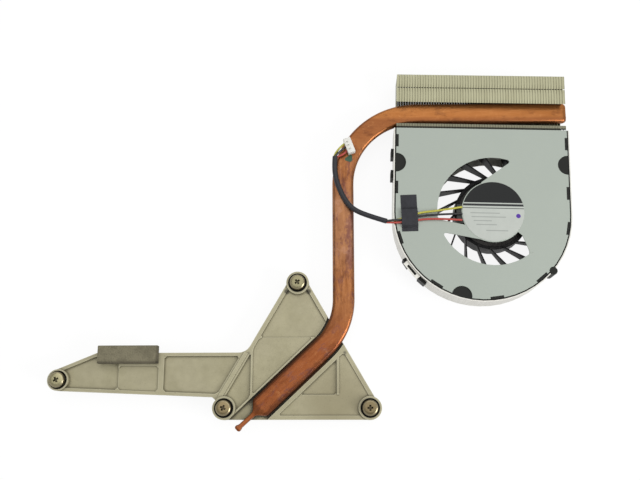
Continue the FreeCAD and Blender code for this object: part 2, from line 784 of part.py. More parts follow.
def impeller():
    hub = many_sided(hub_radius, 2 * blade_count, impeller_bottom, hub_top)
    hub = hub.cut(many_sided(hub_inner, magnet_sides, hub_floor_top, hub_top))
    bore = cylinder(0, 0, shaft_radius, hub_floor_top - shaft_seat, hub_floor_top)
    blades = [turned(blade(), blade_start + number * 360 / blade_count) for number in range(blade_count)]
    return joined(hub, blades).cut(bore)


def magnet_ring():
    """Bonded magnet, bent from a strip into a ring of flats."""
    top = hub_floor_top + magnet_height
    strip = many_sided(hub_inner, magnet_sides, hub_floor_top, top)
    return strip.cut(many_sided(magnet_inner, magnet_sides, hub_floor_top, top))


def rotor_shaft():
    return cylinder(0, 0, shaft_radius, hub_floor_top - shaft_seat, holder_bore_top - shaft_end_gap)


def bearing_holder():
    """Closed sleeve bearing that is staked into the cover and carries the stator."""
    tube = many_sided(holder_outer, holder_sides, holder_bottom, fan_top)
    return tube.cut(cylinder(0, 0, shaft_radius + shaft_clearance, holder_bottom, holder_bore_top))


def stator_core():
    """Stack of laminations: a flat-sided yoke with a shoe at the end of each pole."""
    top = stator_bottom + stator_thickness
    bore = holder_outer + holder_fit
    step = 360 / pole_count
    yoke_corner = (bore + stator_yoke) / cos(radians(step / 2))
    corners = [along((number + 0.5) * step, yoke_corner) for number in range(pole_count)]
    yoke = prism(polygon(corners), stator_bottom, top)
    shoe_end = sqrt(stator_radius ** 2 - (shoe_width / 2) ** 2)
    pole = box(bore, shoe_end - shoe_depth / 2, -pole_width / 2, pole_width / 2, stator_bottom, top)
    shoe = box(shoe_end - shoe_depth, shoe_end, -shoe_width / 2, shoe_width / 2, stator_bottom, top)
    arms = [turned(pole.fuse(shoe), number * step) for number in range(pole_count)]
    return joined(yoke, arms).cut(many_sided(bore, holder_sides, stator_bottom, top))


def stator_coils():
    """Windings, one closed coil round each pole."""
    top = stator_bottom + stator_thickness
    inner = holder_outer + holder_fit + stator_yoke + coil_gap
    outer = sqrt(stator_radius ** 2 - (shoe_width / 2) ** 2) - shoe_depth - coil_gap
    half = pole_width / 2
    winding = box(inner, outer, -half - coil_build, half + coil_build, stator_bottom - coil_build,
                  top + coil_build).cut(box(inner, outer, -half, half, stator_bottom, top))
    return Part.makeCompound([turned(winding, number * 360 / pole_count) for number in range(pole_count)])


def motor_board():
    """Eight-sided circuit board under the cover, with a tab for the wires."""
    corners = [along((number + 0.5) * 360 / board_sides, board_radius) for number in range(board_sides)]
    board = prism(polygon(corners), board_bottom, cover_underside)
    tab = box(-board_tab_radius, 0, board_tab_low, board_tab_high, board_bottom, cover_underside)
    return joined(board, [tab]).cut(many_sided(holder_outer + board_room, holder_sides, board_bottom,
                                               cover_underside))


def motor_label():
    return many_sided(label_radius, label_sides, fan_top, fan_top + label_thickness)


def wire_tape():
    """Strip of cloth tape over the wires, raised where they pass under it."""
    roof = wire_on_cover + wire_diameter / 2 + tape_room
    low = tape_y - tape_width / 2
    high = tape_y + tape_width / 2
    flat = fan_top + tape_thickness
    over = [(low, fan_top), (low, flat), (tape_hump_low - tape_slope, flat),
            (tape_hump_low, roof + tape_thickness), (tape_hump_high, roof + tape_thickness),
            (tape_hump_high + tape_slope, flat), (high, flat),
            (high, fan_top), (tape_hump_high + tape_slope - tape_thickness, fan_top),
            (tape_hump_high - tape_thickness, roof), (tape_hump_low + tape_thickness, roof),
            (tape_hump_low - tape_slope + tape_thickness, fan_top)]
    start = arc_x - cover_radius + tape_inset - tape_length / 2
    section = Part.Face(polygon([point(start, y, z) for y, z in over]))
    return section.extrude(point(tape_length, 0))


# Lead routes. Each wire runs from the board over the inlet, under the tape and into the sleeve.
mouth_x = arc_x - cover_radius - mouth_reach
sleeve_mouth = fan_point(mouth_x, mouth_y, sleeve_start_height)
sleeve_route = [sleeve_mouth,
                point(pipe_run_x + 9.8, 55.6, 7.35),
                point(pipe_run_x + 4.0, 58.4, 6.5),
                point(pipe_run_x + 0.8, 62.3, sleeve_on_pipe),
                point(pipe_run_x - 2.2, 68.9, sleeve_on_pipe),
                point(pipe_run_x - 3.3, 75.2, sleeve_on_pipe),
                point(pipe_run_x - 2.9, 80.0, sleeve_on_pipe)]
fan_wires = {"yellow": [(mouth_x + 26.8, 1.4, wire_on_board),
                        (mouth_x + 19.8, -0.2, wire_on_cover),
                        (mouth_x + 12.0, -1.2, wire_on_cover),
                        (mouth_x + 5.4, -2.8, wire_on_cover),
                        (mouth_x, mouth_y + bundle_side, wire_on_cover)],
             "black": [(mouth_x + 26.8, -1.2, wire_on_board),
                       (mouth_x + 19.8, -1.7, wire_on_cover),
                       (mouth_x + 12.0, -2.5, wire_on_cover),
                       (mouth_x + 5.4, -4.2, wire_on_cover),
                       (mouth_x, mouth_y, sleeve_start_height + bundle_high)],
             "red": [(mouth_x + 26.8, -3.7, wire_on_board),
                     (mouth_x + 19.8, -3.3, wire_on_cover),
                     (mouth_x + 12.0, -3.9, wire_on_cover),
                     (mouth_x + 5.4, -5.4, wire_on_cover),
                     (mouth_x, mouth_y - bundle_side, wire_on_cover)]}
plug_centre = point(plug_x, plug_y)
plug_face = plug_centre + along(plug_angle - 90, plug_depth / 2)
sleeve_end = sleeve_route[-1]
plug_wires = {"yellow": [sleeve_end + point(-bundle_side, 0, -bundle_low),
                         point(sleeve_end.x + 0.5, sleeve_end.y + 2.6, wire_in_plug),
                         plug_face - along(plug_angle, terminal_pitch) + UP * wire_in_plug],
              "black": [sleeve_end + point(0, 0, bundle_high),
                        point(sleeve_end.x + 1.6, sleeve_end.y + 1.9, wire_in_plug + 2 * wire_lift),
                        plug_face + UP * wire_in_plug],
              "red": [sleeve_end + point(bundle_side, 0, -bundle_low),
                      point(sleeve_end.x + 3.0, sleeve_end.y + 0.4, wire_in_plug - 2 * wire_lift),
                      plug_face + along(plug_angle, terminal_pitch) + UP * wire_in_plug]}


def in_plug(shape):
    placed = turned(shape, plug_angle)
    placed.translate(plug_centre)
    return placed


def plug_housing():
    """Moulded shell of the plug: open at the mating side, with a row of holes for the wires."""
    top = pipe_top + plug_height
    shell = box(-plug_length / 2, plug_length / 2, -plug_depth / 2, plug_depth / 2, pipe_top, top)
    mouth = box(-plug_length / 2 + plug_wall, plug_length / 2 - plug_wall, plug_depth / 2 - plug_mouth_depth,
                plug_depth / 2, pipe_top + plug_wall, top - plug_wall)
    return in_plug(shell.cut(mouth))


def plug_terminals():
    """Three crimped blades in the mouth of the plug."""
    back = plug_depth / 2 - plug_mouth_depth
    blades = []
    for number in (-1, 0, 1):
        middle = number * terminal_pitch
        blades.append(in_plug(box(middle - terminal_width / 2, middle + terminal_width / 2, back,
                                  back + plug_mouth_depth / 2, wire_in_plug - terminal_height / 2,
                                  wire_in_plug + terminal_height / 2)))
    return Part.makeCompound(blades)


save("base_casting", base_casting())
save("cpu_contact_slug", contact_slug())
save("chipset_thermal_pad", chipset_pad())
save("foam_block", foam_block())
for number, place in enumerate(screw_places, 1):
    save("captive_screw_%d" % number, captive_screw(place))
    save("screw_spring_%d" % number, screw_spring(place))
    save("retaining_washer_%d" % number, retaining_washer(place))
save("heat_pipe", heat_pipe())
save("fin_stack", in_fan(fin_stack()))
save("fan_cover", in_fan(fan_cover()))
save("fan_frame", in_fan(fan_frame()))
save("fan_tray", in_fan(fan_tray()))
save("impeller", in_fan(impeller()))
save("magnet_ring", in_fan(magnet_ring()))
save("rotor_shaft", in_fan(rotor_shaft()))
save("bearing_holder", in_fan(bearing_holder()))
save("stator_core", in_fan(stator_core()))
save("stator_coils", in_fan(stator_coils()))
save("motor_board", in_fan(motor_board()))
save("motor_label", in_fan(motor_label()))
save("wire_tape", in_fan(wire_tape()))
save("lead_sleeve", cord(sleeve_route, sleeve_diameter, "lead_sleeve"))
for colour in fan_wires:
    route = [fan_point(*place) for place in fan_wires[colour]]
    save("fan_wire_" + colour, cord(route, wire_diameter, "fan_wire_" + colour))
    save("plug_wire_" + colour, cord(plug_wires[colour], wire_diameter, "plug_wire_" + colour))
save("plug_housing", plug_housing())
save("plug_terminals", plug_terminals())
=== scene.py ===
from math import cos, radians, sin, tan
import bmesh
import bpy
from mathutils import Matrix, Vector


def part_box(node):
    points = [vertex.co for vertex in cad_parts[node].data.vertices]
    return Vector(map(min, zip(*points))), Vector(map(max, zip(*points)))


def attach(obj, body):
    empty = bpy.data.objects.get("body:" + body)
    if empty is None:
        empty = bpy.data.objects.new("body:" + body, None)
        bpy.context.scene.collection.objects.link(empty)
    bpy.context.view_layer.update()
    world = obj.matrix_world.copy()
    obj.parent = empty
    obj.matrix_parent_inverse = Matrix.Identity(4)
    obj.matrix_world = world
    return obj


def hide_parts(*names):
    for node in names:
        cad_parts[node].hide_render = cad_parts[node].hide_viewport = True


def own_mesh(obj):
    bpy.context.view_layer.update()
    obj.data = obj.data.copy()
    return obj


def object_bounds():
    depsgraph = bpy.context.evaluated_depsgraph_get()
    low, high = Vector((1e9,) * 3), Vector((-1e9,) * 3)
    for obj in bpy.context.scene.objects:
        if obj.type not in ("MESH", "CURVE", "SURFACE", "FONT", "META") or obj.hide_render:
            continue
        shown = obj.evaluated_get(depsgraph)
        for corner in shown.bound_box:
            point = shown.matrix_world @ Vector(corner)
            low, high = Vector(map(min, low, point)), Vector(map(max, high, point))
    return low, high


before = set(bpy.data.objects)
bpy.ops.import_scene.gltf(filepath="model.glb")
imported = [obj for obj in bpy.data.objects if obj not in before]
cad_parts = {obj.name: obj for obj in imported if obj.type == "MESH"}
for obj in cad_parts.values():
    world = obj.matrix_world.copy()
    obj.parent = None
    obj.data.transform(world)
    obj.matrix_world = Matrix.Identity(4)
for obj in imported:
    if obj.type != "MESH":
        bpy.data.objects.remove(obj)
cad_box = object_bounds()
scene = bpy.context.scene
scene.view_settings.view_transform = "Standard"

# Camera
# Looks down at the part from 300 mm above the contact face, tipped a little towards the fins, as in
# the photograph. The three directions are those of the picture's right, down and depth.
mm = 0.001
picture_right = Vector((0.999244, 0.0, -0.038866))
picture_down = Vector((-0.00907, -0.972387, -0.233197))
picture_depth = Vector((-0.037793, 0.233373, -0.971653))
camera_place = Vector((19.97, -23.84, 300.0))
bpy.ops.object.camera_add()
camera = bpy.context.object
camera.matrix_world = (Matrix.Translation(camera_place * mm)
                       @ Matrix((picture_right, -picture_down, -picture_depth)).transposed().to_4x4())
camera.data.lens = 45.0
camera.data.sensor_width = 36.0
camera.data.clip_start = 0.01
scene.camera = camera


# Floor and light
# A plain pale table, seen as white by the camera with a trace of the part's shadow, a wide soft box
# overhead, a smaller lamp low on the right that picks out the edges, and a pale room all round.
class Value:
    """A socket of a finish's nodes. Arithmetic on it adds Math nodes."""

    def __init__(self, finish, socket):
        self.finish = finish
        self.socket = socket

    def maths(self, operation, first, second):
        return self.finish.node("ShaderNodeMath", {"operation": operation}, {0: first, 1: second})

    def __add__(self, other):
        return self.maths("ADD", self, other)

    def __radd__(self, other):
        return self.maths("ADD", other, self)

    def __sub__(self, other):
        return self.maths("SUBTRACT", self, other)

    def __rsub__(self, other):
        return self.maths("SUBTRACT", other, self)

    def __mul__(self, other):
        return self.maths("MULTIPLY", self, other)

    def __rmul__(self, other):
        return self.maths("MULTIPLY", other, self)

    def __truediv__(self, other):
        return self.maths("DIVIDE", self, other)


class Finish:
    """A material on one Principled shader, with constants set by name and nodes added by node()."""

    def __init__(self, name, **constants):
        self.material = bpy.data.materials.new(name)
        self.material.use_nodes = True
        self.tree = self.material.node_tree
        self.shader = self.tree.nodes["Principled BSDF"]
        for socket, value in constants.items():
            title = socket.replace("_", " ").title().replace("Ior", "IOR")
            self.shader.inputs[title].default_value = value

    def node(self, kind, settings, inputs, output=0):
        node = self.tree.nodes.new(kind)
        for name, setting in settings.items():
            setattr(node, name, setting)
        for key, value in inputs.items():
            if isinstance(value, Value):
                self.tree.links.new(value.socket, node.inputs[key])
            else:
                node.inputs[key].default_value = value
        return Value(self, node.outputs[output])

    def feed(self, socket, value):
        self.tree.links.new(value.socket, self.shader.inputs[socket])

    def place(self, centre=(0, 0, 0), turn=0.0):
        """Object coordinates in millimetres from a centre, turned about the upright."""
        position = self.node("ShaderNodeTexCoord", {}, {}, "Object")
        return self.node("ShaderNodeMapping", {"vector_type": "TEXTURE"},
                         {"Vector": position, "Location": Vector(centre) * mm,
                          "Rotation": (0, 0, radians(turn)), "Scale": (mm, mm, mm)})

    def axis(self, position, name):
        return self.node("ShaderNodeSeparateXYZ", {}, {"Vector": position}, name)

    def stretched(self, position, x, y, z):
        return self.node("ShaderNodeVectorMath", {"operation": "MULTIPLY"}, {0: position, 1: (x, y, z)})

    def noise(self, position, scale, detail=4.0, roughness=0.6):
        return self.node("ShaderNodeTexNoise", {}, {"Vector": position, "Scale": scale, "Detail": detail,
                                                    "Roughness": roughness}, "Fac")

    def rise(self, value, low, high):
        """Smooth step from 0 at low to 1 at high."""
        return self.node("ShaderNodeMapRange", {"interpolation_type": "SMOOTHSTEP"},
                         {"Value": value, "From Min": low, "From Max": high})

    def near(self, position, point, inner, outer):
        """1 within the inner distance of a point, 0 past the outer one."""
        distance = self.node("ShaderNodeVectorMath", {"operation": "DISTANCE"},
                             {0: position, 1: point}, "Value")
        return 1 - self.rise(distance, inner, outer)

    def mixed(self, share, *tones):
        """A blend of two tones, each a Value or a red, green and blue."""
        first, second = (tone if isinstance(tone, Value) else (*tone, 1) for tone in tones)
        return self.node("ShaderNodeMix", {"data_type": "RGBA"}, {0: share, 6: first, 7: second}, 2)

    def coloured(self, colour, *layers):
        """Feeds a colour with others laid over it in turn, each given as a share and a tone."""
        for share, tone in layers:
            colour = self.mixed(share, colour, tone)
        self.feed("Base Color", colour)

    def toned(self, dark, light, scale, detail=4.0, roughness=0.6):
        """Feeds a colour that varies between two tones, and gives the noise that it follows."""
        shade = self.noise(self.place(), scale, detail, roughness)
        self.coloured(self.mixed(shade, dark, light))
        return shade

    def upward(self, normal="True Normal"):
        return self.axis(self.node("ShaderNodeNewGeometry", {}, {}, normal), "Z")

    def bump(self, height, depth):
        """Dents the surface by a height from 0 to 1, as deep as depth in millimetres."""
        self.feed("Normal", self.node("ShaderNodeBump", {}, {"Height": height, "Strength": 1.0,
                                                              "Distance": depth * mm}))


floor_gap = 0.02 * mm
floor_z = cad_box[0][2] - floor_gap
bpy.ops.mesh.primitive_plane_add(size=4.0, location=(0, 0, floor_z))
floor = bpy.context.object
floor.name = "table"
table = Finish("pale_table", base_color=(0.86, 0.86, 0.86, 1), roughness=0.7)
ray = table.tree.nodes.new("ShaderNodeLightPath")
seen = table.node("ShaderNodeMath", {"operation": "MAXIMUM"},
                  {0: Value(table, ray.outputs["Is Camera Ray"]),
                   1: Value(table, ray.outputs["Is Glossy Ray"])})
white_level, white_share = 1.04, 0.86
white = table.node("ShaderNodeEmission", {}, {"Color": (1, 1, 1, 1), "Strength": white_level})
shown = table.node("ShaderNodeMixShader", {},
                   {0: seen * white_share, 1: Value(table, table.shader.outputs[0]), 2: white})
table.tree.links.new(shown.socket, table.tree.nodes["Material Output"].inputs["Surface"])
floor.data.materials.append(table.material)

scene.world = bpy.data.worlds.new("room")
scene.world.use_nodes = True
room = scene.world.node_tree.nodes["Background"]
room.inputs["Color"].default_value = (1.0, 1.0, 1.0, 1)
room.inputs["Strength"].default_value = 0.50
lamp_aim = Vector((0.02, 0.04, 0))
for lamp_name, lamp_place, lamp_power, lamp_size in (("soft_box", (0.10, 0.36, 0.85), 4.3, 1.2),
                                                     ("edge_lamp", (0.55, -0.22, 0.34), 2.6, 0.3)):
    bpy.ops.object.light_add(type="AREA", location=lamp_place)
    lamp = bpy.context.object
    lamp.name = lamp_name
    lamp.data.energy = lamp_power
    lamp.data.size = lamp_size
    lamp.rotation_euler = (lamp_aim - Vector(lamp_place)).to_track_quat("-Z", "Y").to_euler()


# Base casting
# A die-cast zinc plate with thin rims, pockets and a groove for the heat pipe, bead-blasted to a dull grey
# green. Its edges are softened by the blasting. Shade is painted into its inside corners, its screw cups,
# the groove beside the pipe, its lower right and the deep pocket ends at the tips of the ribs. Its rims and
# ridges are lighter, partly from wear and partly as a painted highlight.
def edit_all():
    """Opens the active piece for editing, with all of it selected."""
    bpy.ops.object.mode_set(mode="EDIT")
    bpy.ops.mesh.select_all(action="SELECT")


def edit_done():
    bpy.ops.object.mode_set(mode="OBJECT")


def smoothed(angle):
    """Smooths the active piece, except at edges sharper than an angle in degrees."""
    bpy.ops.object.shade_smooth_by_angle(angle=radians(angle))


def solid_copy(node, name):
    """A copy of a CAD node with its triangles merged into whole faces, selected and active."""
    bpy.ops.object.select_all(action="DESELECT")
    piece = bpy.data.objects.new(name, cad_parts[node].data.copy())
    scene.collection.objects.link(piece)
    piece.data.materials.clear()
    piece.select_set(True)
    bpy.context.view_layer.objects.active = piece
    edit_all()
    bpy.ops.mesh.remove_doubles(threshold=0.002 * mm)
    bpy.ops.mesh.dissolve_limited(angle_limit=radians(0.4))
    edit_done()
    return piece


def softened(piece, width, angle=30.0):
    """Rounds the sharp edges of the active piece and smooths the rest."""
    edge = piece.modifiers.new("edge", "BEVEL")
    edge.width = width * mm
    edge.segments = 2
    edge.limit_method = "ANGLE"
    edge.angle_limit = radians(angle)
    bpy.ops.object.modifier_apply(modifier="edge")
    smoothed(40)
    even = piece.modifiers.new("even", "WEIGHTED_NORMAL")
    even.keep_sharp = True
    bpy.ops.object.modifier_apply(modifier="even")


def fitted(piece, finish, body, slot, *nodes):
    """Gives a finished piece its material and body, and hides the CAD nodes that it stands for. The slot is
    not used.
    """
    piece.data.materials.clear()
    piece.data.materials.append(finish.material)
    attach(piece, body)
    if nodes:
        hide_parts(*nodes)


screw_spacing = 53.3
screw_circle = screw_spacing / 3 ** 0.5
screw_places = [(screw_circle * cos(radians(angle)), screw_circle * sin(radians(angle)))
                for angle in (90, 210, 330)]
arm_reach, arm_rise = 62.05, 10.29
screw_places.append((screw_places[1][0] - arm_reach, screw_places[1][1] + arm_rise))
cup_radius, cup_floor = 3.45, 1.6
rim_low, rim_high = 3.30, 3.42
groove_low, groove_high = 1.95, 2.25
casting = solid_copy("base_casting", "casting")
softened(casting, 0.16, angle=40.0)
cast = Finish("blasted_casting", metallic=0.45)
cast_place = cast.place()
cast_height = cast.axis(cast_place, "Z")
mottle = cast.noise(cast_place, 0.16, 5.0, 0.65)
grain = cast.noise(cast_place, 4.5, 6.0, 0.75)
speck = cast.rise(cast.noise(cast_place, 2.2, 3.0, 0.5), 0.64, 0.74)
# Partly wear, partly painted highlight: the tops of the rims are lighter.
rim_wear_and_highlight = cast.rise(cast_height, rim_low, rim_high)
# Painted shade: the deep pocket ends at the tips of the ribs are darkened.
painted_pocket_end_shade = cast.near(cast_place, (-18.0, 4.6, 2.5), 0.4, 1.6)
for pocket_end_place in ((17.6, 4.6, 2.5), (-4.2, 27.6, 2.8), (4.2, 27.6, 2.8)):
    painted_pocket_end_shade = painted_pocket_end_shade + cast.near(cast_place, pocket_end_place, 0.5, 1.7)
on_plan = cast.stretched(cast_place, 1, 1, 0)
# Painted shade: the cup around each of the three screws is darkened almost to black.
painted_cup_shade = sum(cast.near(on_plan, (x, y, 0), cup_radius + 0.05, cup_radius + 0.2)
             for x, y in screw_places[:3])
painted_cup_shade = painted_cup_shade * cast.rise(cast_height, cup_floor - 0.4, cup_floor - 0.1)
# Painted shade: the groove floor darkens where the pipe beside it closes it in.
beside_pipe = cast.node("ShaderNodeAmbientOcclusion", {"samples": 8}, {"Distance": 2.5 * mm}, "AO")
painted_groove_shade = cast.rise(cast.upward(), 0.3, 0.6) * (1 - cast.rise(cast_height, groove_low, groove_high))
painted_groove_shade = painted_groove_shade * (1 - cast.rise(beside_pipe, 0.45, 0.85))
shaded = cast.near(cast_place, (14.0, -13.0, 3.0), 3.0, 20.0)
# Painted shade: the casting darkens in its own inside corners.
corner = cast.node("ShaderNodeAmbientOcclusion", {"samples": 8, "only_local": True},
                   {"Distance": 1.2 * mm}, "AO")
# Partly wear, partly painted highlight: the casting lightens on its convex edges.
ridge_wear_and_highlight = cast.node("ShaderNodeAmbientOcclusion", {"samples": 8, "only_local": True, "inside": True},
                  {"Distance": 0.5 * mm}, "AO")
cloud = cast.rise(cast.noise(cast_place, 0.06, 4.0, 0.6), 0.40, 0.62)
cast.coloured(
    cast.mixed(cast.rise(mottle, 0.2, 0.8), (0.325, 0.297, 0.185), (0.44, 0.406, 0.265)),
    (cloud * 0.22, (0.47, 0.43, 0.31)),
    (rim_wear_and_highlight * 0.3, (0.50, 0.47, 0.32)),
    (shaded * 0.5, (0.24, 0.205, 0.115)),
    ((1 - cast.rise(ridge_wear_and_highlight, 0.35, 0.85)) * 0.6, (0.66, 0.63, 0.47)),
    ((1 - cast.rise(corner, 0.5, 0.95)) * 0.55, (0.08, 0.07, 0.045)),
    (painted_groove_shade * 0.9, (0.018, 0.014, 0.010)),
    (painted_cup_shade * 0.92, (0.014, 0.012, 0.009)),
    (speck * 0.35, (0.12, 0.105, 0.075)),
    (cast.rise(painted_pocket_end_shade, 0.2, 1.0) * 0.85, (0.045, 0.04, 0.03)))
cast.feed("Roughness", 0.46 + 0.22 * mottle)
cast.bump(grain * 0.7 + speck * 0.3, 0.05)
fitted(casting, cast, "heatsink", "cast_zinc", "base_casting")


# Contact slug
# A square of copper pressed into the underside of the casting, where it swells to fill its seat. Its face
# is fly-cut, which leaves fine curved lines. The other face is soldered to the pipe, stained by flux, and
# painted darker as shade where it lies under the pipe.
def dressed(node, finish):
    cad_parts[node].material_slots[0].material = finish.material


slug_half, seat_half = 11.0, 11.09
slug_block = solid_copy("cpu_contact_slug", "slug_block")
slug_block.data.transform(Matrix.Diagonal((seat_half / slug_half, seat_half / slug_half, 1, 1)))
softened(slug_block, 0.08)
slug = Finish("fly_cut_copper", metallic=1.0)
cut_lines = slug.node("ShaderNodeTexWave", {"wave_type": "RINGS", "rings_direction": "Z"},
                      {"Vector": slug.place((0, -60, 0)), "Scale": 1.6, "Distortion": 0.6}, "Fac")
slug_tarnish = slug.noise(slug.place(), 0.22, 5.0)
# Partly flux stain, partly painted shade: the face turned up under the pipe is darkened.
flux_stain_and_shade = slug.rise(slug.upward(), 0.3, 0.6)
slug.coloured(slug.mixed(slug_tarnish, (0.50, 0.21, 0.10), (0.78, 0.40, 0.22)),
              (flux_stain_and_shade * 0.95, (0.022, 0.014, 0.010)))
slug.feed("Roughness", 0.22 + 0.2 * slug_tarnish)
slug.bump(cut_lines, 0.01)
fitted(slug_block, slug, "heatsink", "copper", "cpu_contact_slug")

# Chipset pad
# A soft grey silicone pad, filled with ceramic, stuck to the island under the arm. Its face is dull and
# finely grained.
pad = Finish("thermal_pad", roughness=0.75)
pad.bump(pad.toned((0.26, 0.27, 0.31), (0.40, 0.41, 0.45), 6.0, 5.0, 0.7), 0.03)
dressed("chipset_thermal_pad", pad)

# Foam strip
# A block of open-cell foam, cut from sheet and stuck on the arm to seal it against the case. Its cut edges
# are a little soft, and its cells show. Its front and right ends are painted darker as shade.
foam_low, foam_high = (Vector(corner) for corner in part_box("foam_block"))
foam_middle, foam_edge = (foam_low + foam_high) / 2, 0.35
bpy.ops.mesh.primitive_cube_add(size=1.0, location=foam_middle)
foam = bpy.context.object
foam.name = "foam_strip"
foam.scale = foam_high - foam_low
bpy.ops.object.transform_apply(location=True, rotation=True, scale=True)
edit_all()
bpy.ops.mesh.bevel(offset=foam_edge * mm, segments=3, affect="EDGES")
bpy.ops.mesh.select_all(action="SELECT")
bpy.ops.mesh.subdivide(number_cuts=2)
edit_done()
foam_give, dent_share, dents_across, dents_along = 0.012, 0.06, 900, 1300
for vertex in foam.data.vertices:
    dent = dent_share * sin(vertex.co.x * dents_across) * cos(vertex.co.y * dents_along)
    vertex.co = foam_middle + (vertex.co - foam_middle) * (1 - foam_give * (1 + dent))
smoothed(50)
foam_skin = Finish("open_foam", roughness=0.95)
foam_place = foam_skin.place()
cells = foam_skin.node("ShaderNodeTexVoronoi", {"feature": "SMOOTH_F1"},
                       {"Vector": foam_place, "Scale": 2.6, "Randomness": 1.0}, "Distance")
foam_shade = foam_skin.noise(foam_place, 0.5, 4.0)
open_cells = foam_skin.rise(cells, 0.05, 0.45)
foam_patch = foam_skin.noise(foam_skin.stretched(foam_place, 0.6, 1.0, 1.0), 0.28, 5.0, 0.7)
foam_patch = foam_skin.rise(foam_patch, 0.42, 0.62)
foam_front, foam_right = foam_low.y / mm, foam_high.x / mm
# Painted shade: the front and right ends of the foam are darkened.
painted_foam_front_shade = 1 - foam_skin.rise(foam_skin.axis(foam_place, "Y"), foam_front + 0.3, foam_front + 1.3)
painted_foam_right_shade = foam_skin.rise(foam_skin.axis(foam_place, "X"), foam_right - 1.1, foam_right - 0.3)
foam_skin.coloured(foam_skin.mixed(foam_shade, (0.105, 0.092, 0.058), (0.20, 0.18, 0.115)),
                   (open_cells * 0.5, (0.26, 0.237, 0.155)),
                   (foam_patch * 0.35, (0.07, 0.06, 0.037)),
                   ((painted_foam_front_shade + painted_foam_right_shade) * 0.6, (0.05, 0.042, 0.027)))
foam_skin.bump(cells, 0.14)
fitted(foam, foam_skin, "heatsink", "foam", "foam_block")


# Captive screws
# Plated steel pan-head screws with a cross recess and a plain shoulder over a fine thread. Each hangs in
# its boss on a spring and is kept there by a washer pushed on from below.
def turned_ring(name, profile, steps=48):
    """A piece turned on the lathe from a profile of radius and height, in millimetres."""
    bpy.ops.mesh.primitive_plane_add(size=1.0)
    piece = bpy.context.object
    piece.name = name
    edit_all()
    bpy.ops.mesh.delete(type="VERT")
    form = bmesh.from_edit_mesh(piece.data)
    corners = [form.verts.new((radius * mm, 0, height * mm)) for radius, height in profile]
    for start, end in zip(corners, corners[1:]):
        form.edges.new((start, end))
    bmesh.update_edit_mesh(piece.data)
    bpy.ops.mesh.select_all(action="SELECT")
    bpy.ops.mesh.spin(steps=steps, angle=radians(360), center=(0, 0, 0), axis=(0, 0, 1))
    bpy.ops.mesh.select_all(action="SELECT")
    bpy.ops.mesh.remove_doubles(threshold=0.0005 * mm)
    bpy.ops.mesh.normals_make_consistent(inside=False)
    edit_done()
    return piece


def placed_copy(piece, name, place):
    """A copy of a piece with its own mesh, moved to a place in millimetres."""
    copy = bpy.data.objects.new(name, piece.data.copy())
    scene.collection.objects.link(copy)
    copy.data.transform(Matrix.Translation(Vector(place) * mm))
    return copy


def cut_by(piece, cutter):
    """Cuts a cutter's shape out of a piece, removes the cutter and leaves the piece active."""
    bpy.ops.object.select_all(action="DESELECT")
    bpy.context.view_layer.objects.active = piece
    piece.select_set(True)
    cut = piece.modifiers.new("cut", "BOOLEAN")
    cut.object = cutter
    cut.operation = "DIFFERENCE"
    bpy.ops.object.modifier_apply(modifier="cut")
    bpy.data.objects.remove(cutter)


head_low, head_high, head_radius, shoulder_radius = 4.7, 6.2, 2.9, 1.5
thread_low, thread_high, thread_radius = -4.2, -0.2, 1.25
screw_profile = [(0, head_high), (shoulder_radius, head_high), (head_radius - 0.7, head_high - 0.1),
                 (head_radius - 0.35, head_high - 0.25), (head_radius - 0.1, head_high - 0.5),
                 (head_radius, head_high - 0.8), (head_radius, head_low), (shoulder_radius, head_low),
                 (shoulder_radius, thread_high + 0.1), (shoulder_radius - 0.15, thread_high)]
thread_pitch, thread_turns, thread_depth, crest_round = 0.45, 8, 0.22, 0.02
for turn in range(thread_turns):
    root = thread_high - 0.12 - turn * thread_pitch
    screw_profile += [(thread_radius - thread_depth, root),
                      (thread_radius - crest_round, root - thread_pitch * 0.35),
                      (thread_radius, root - thread_pitch * 0.5),
                      (thread_radius - crest_round, root - thread_pitch * 0.65)]
screw_profile += [(thread_radius - 0.3, thread_low + 0.12), (thread_radius - 0.45, thread_low),
                  (0, thread_low)]
screw = turned_ring("screw_master", screw_profile)
recess_length, recess_width, recess_depth, recess_taper = 2.9, 1.0, 1.8, 0.45
for turn in (0, 90):
    bpy.ops.mesh.primitive_cube_add(size=1.0)
    cutter = bpy.context.object
    cutter.data.transform(Matrix.Rotation(radians(turn), 4, "Z")
                          @ Matrix.Translation((0, 0, head_high * mm))
                          @ Matrix.Diagonal((recess_length * mm, recess_width * mm, recess_depth * mm, 1)))
    for vertex in cutter.data.vertices:
        if vertex.co.z < head_high * mm:
            vertex.co.x *= recess_taper
            vertex.co.y *= recess_taper
    cut_by(screw, cutter)
smoothed(35)
plated = Finish("plated_screw", metallic=1.0)
plated_place = plated.place()
plated_stain = plated.noise(plated_place, 0.9, 5.0, 0.7)
plated_high = plated.axis(plated_place, "Z")
# Painted shade: the cross recess and the side of each head are darkened.
painted_recess_and_side_shade = 1 - plated.rise(plated_high, head_high - 0.7, head_high - 0.1)
painted_recess_and_side_shade = painted_recess_and_side_shade * plated.rise(plated_high, head_low + 0.1, head_low + 0.3)
plated_plan = plated.stretched(plated_place, 1, 1, 0)
on_screw = (4.0, 6.0)
browned = sum(plated.near(plated_plan, (x, y, 0), *on_screw) for x, y in screw_places[1:3])
dulled = plated.near(plated_plan, (*screw_places[2], 0), *on_screw)
paled = plated.near(plated_plan, (*screw_places[3], 0), *on_screw)
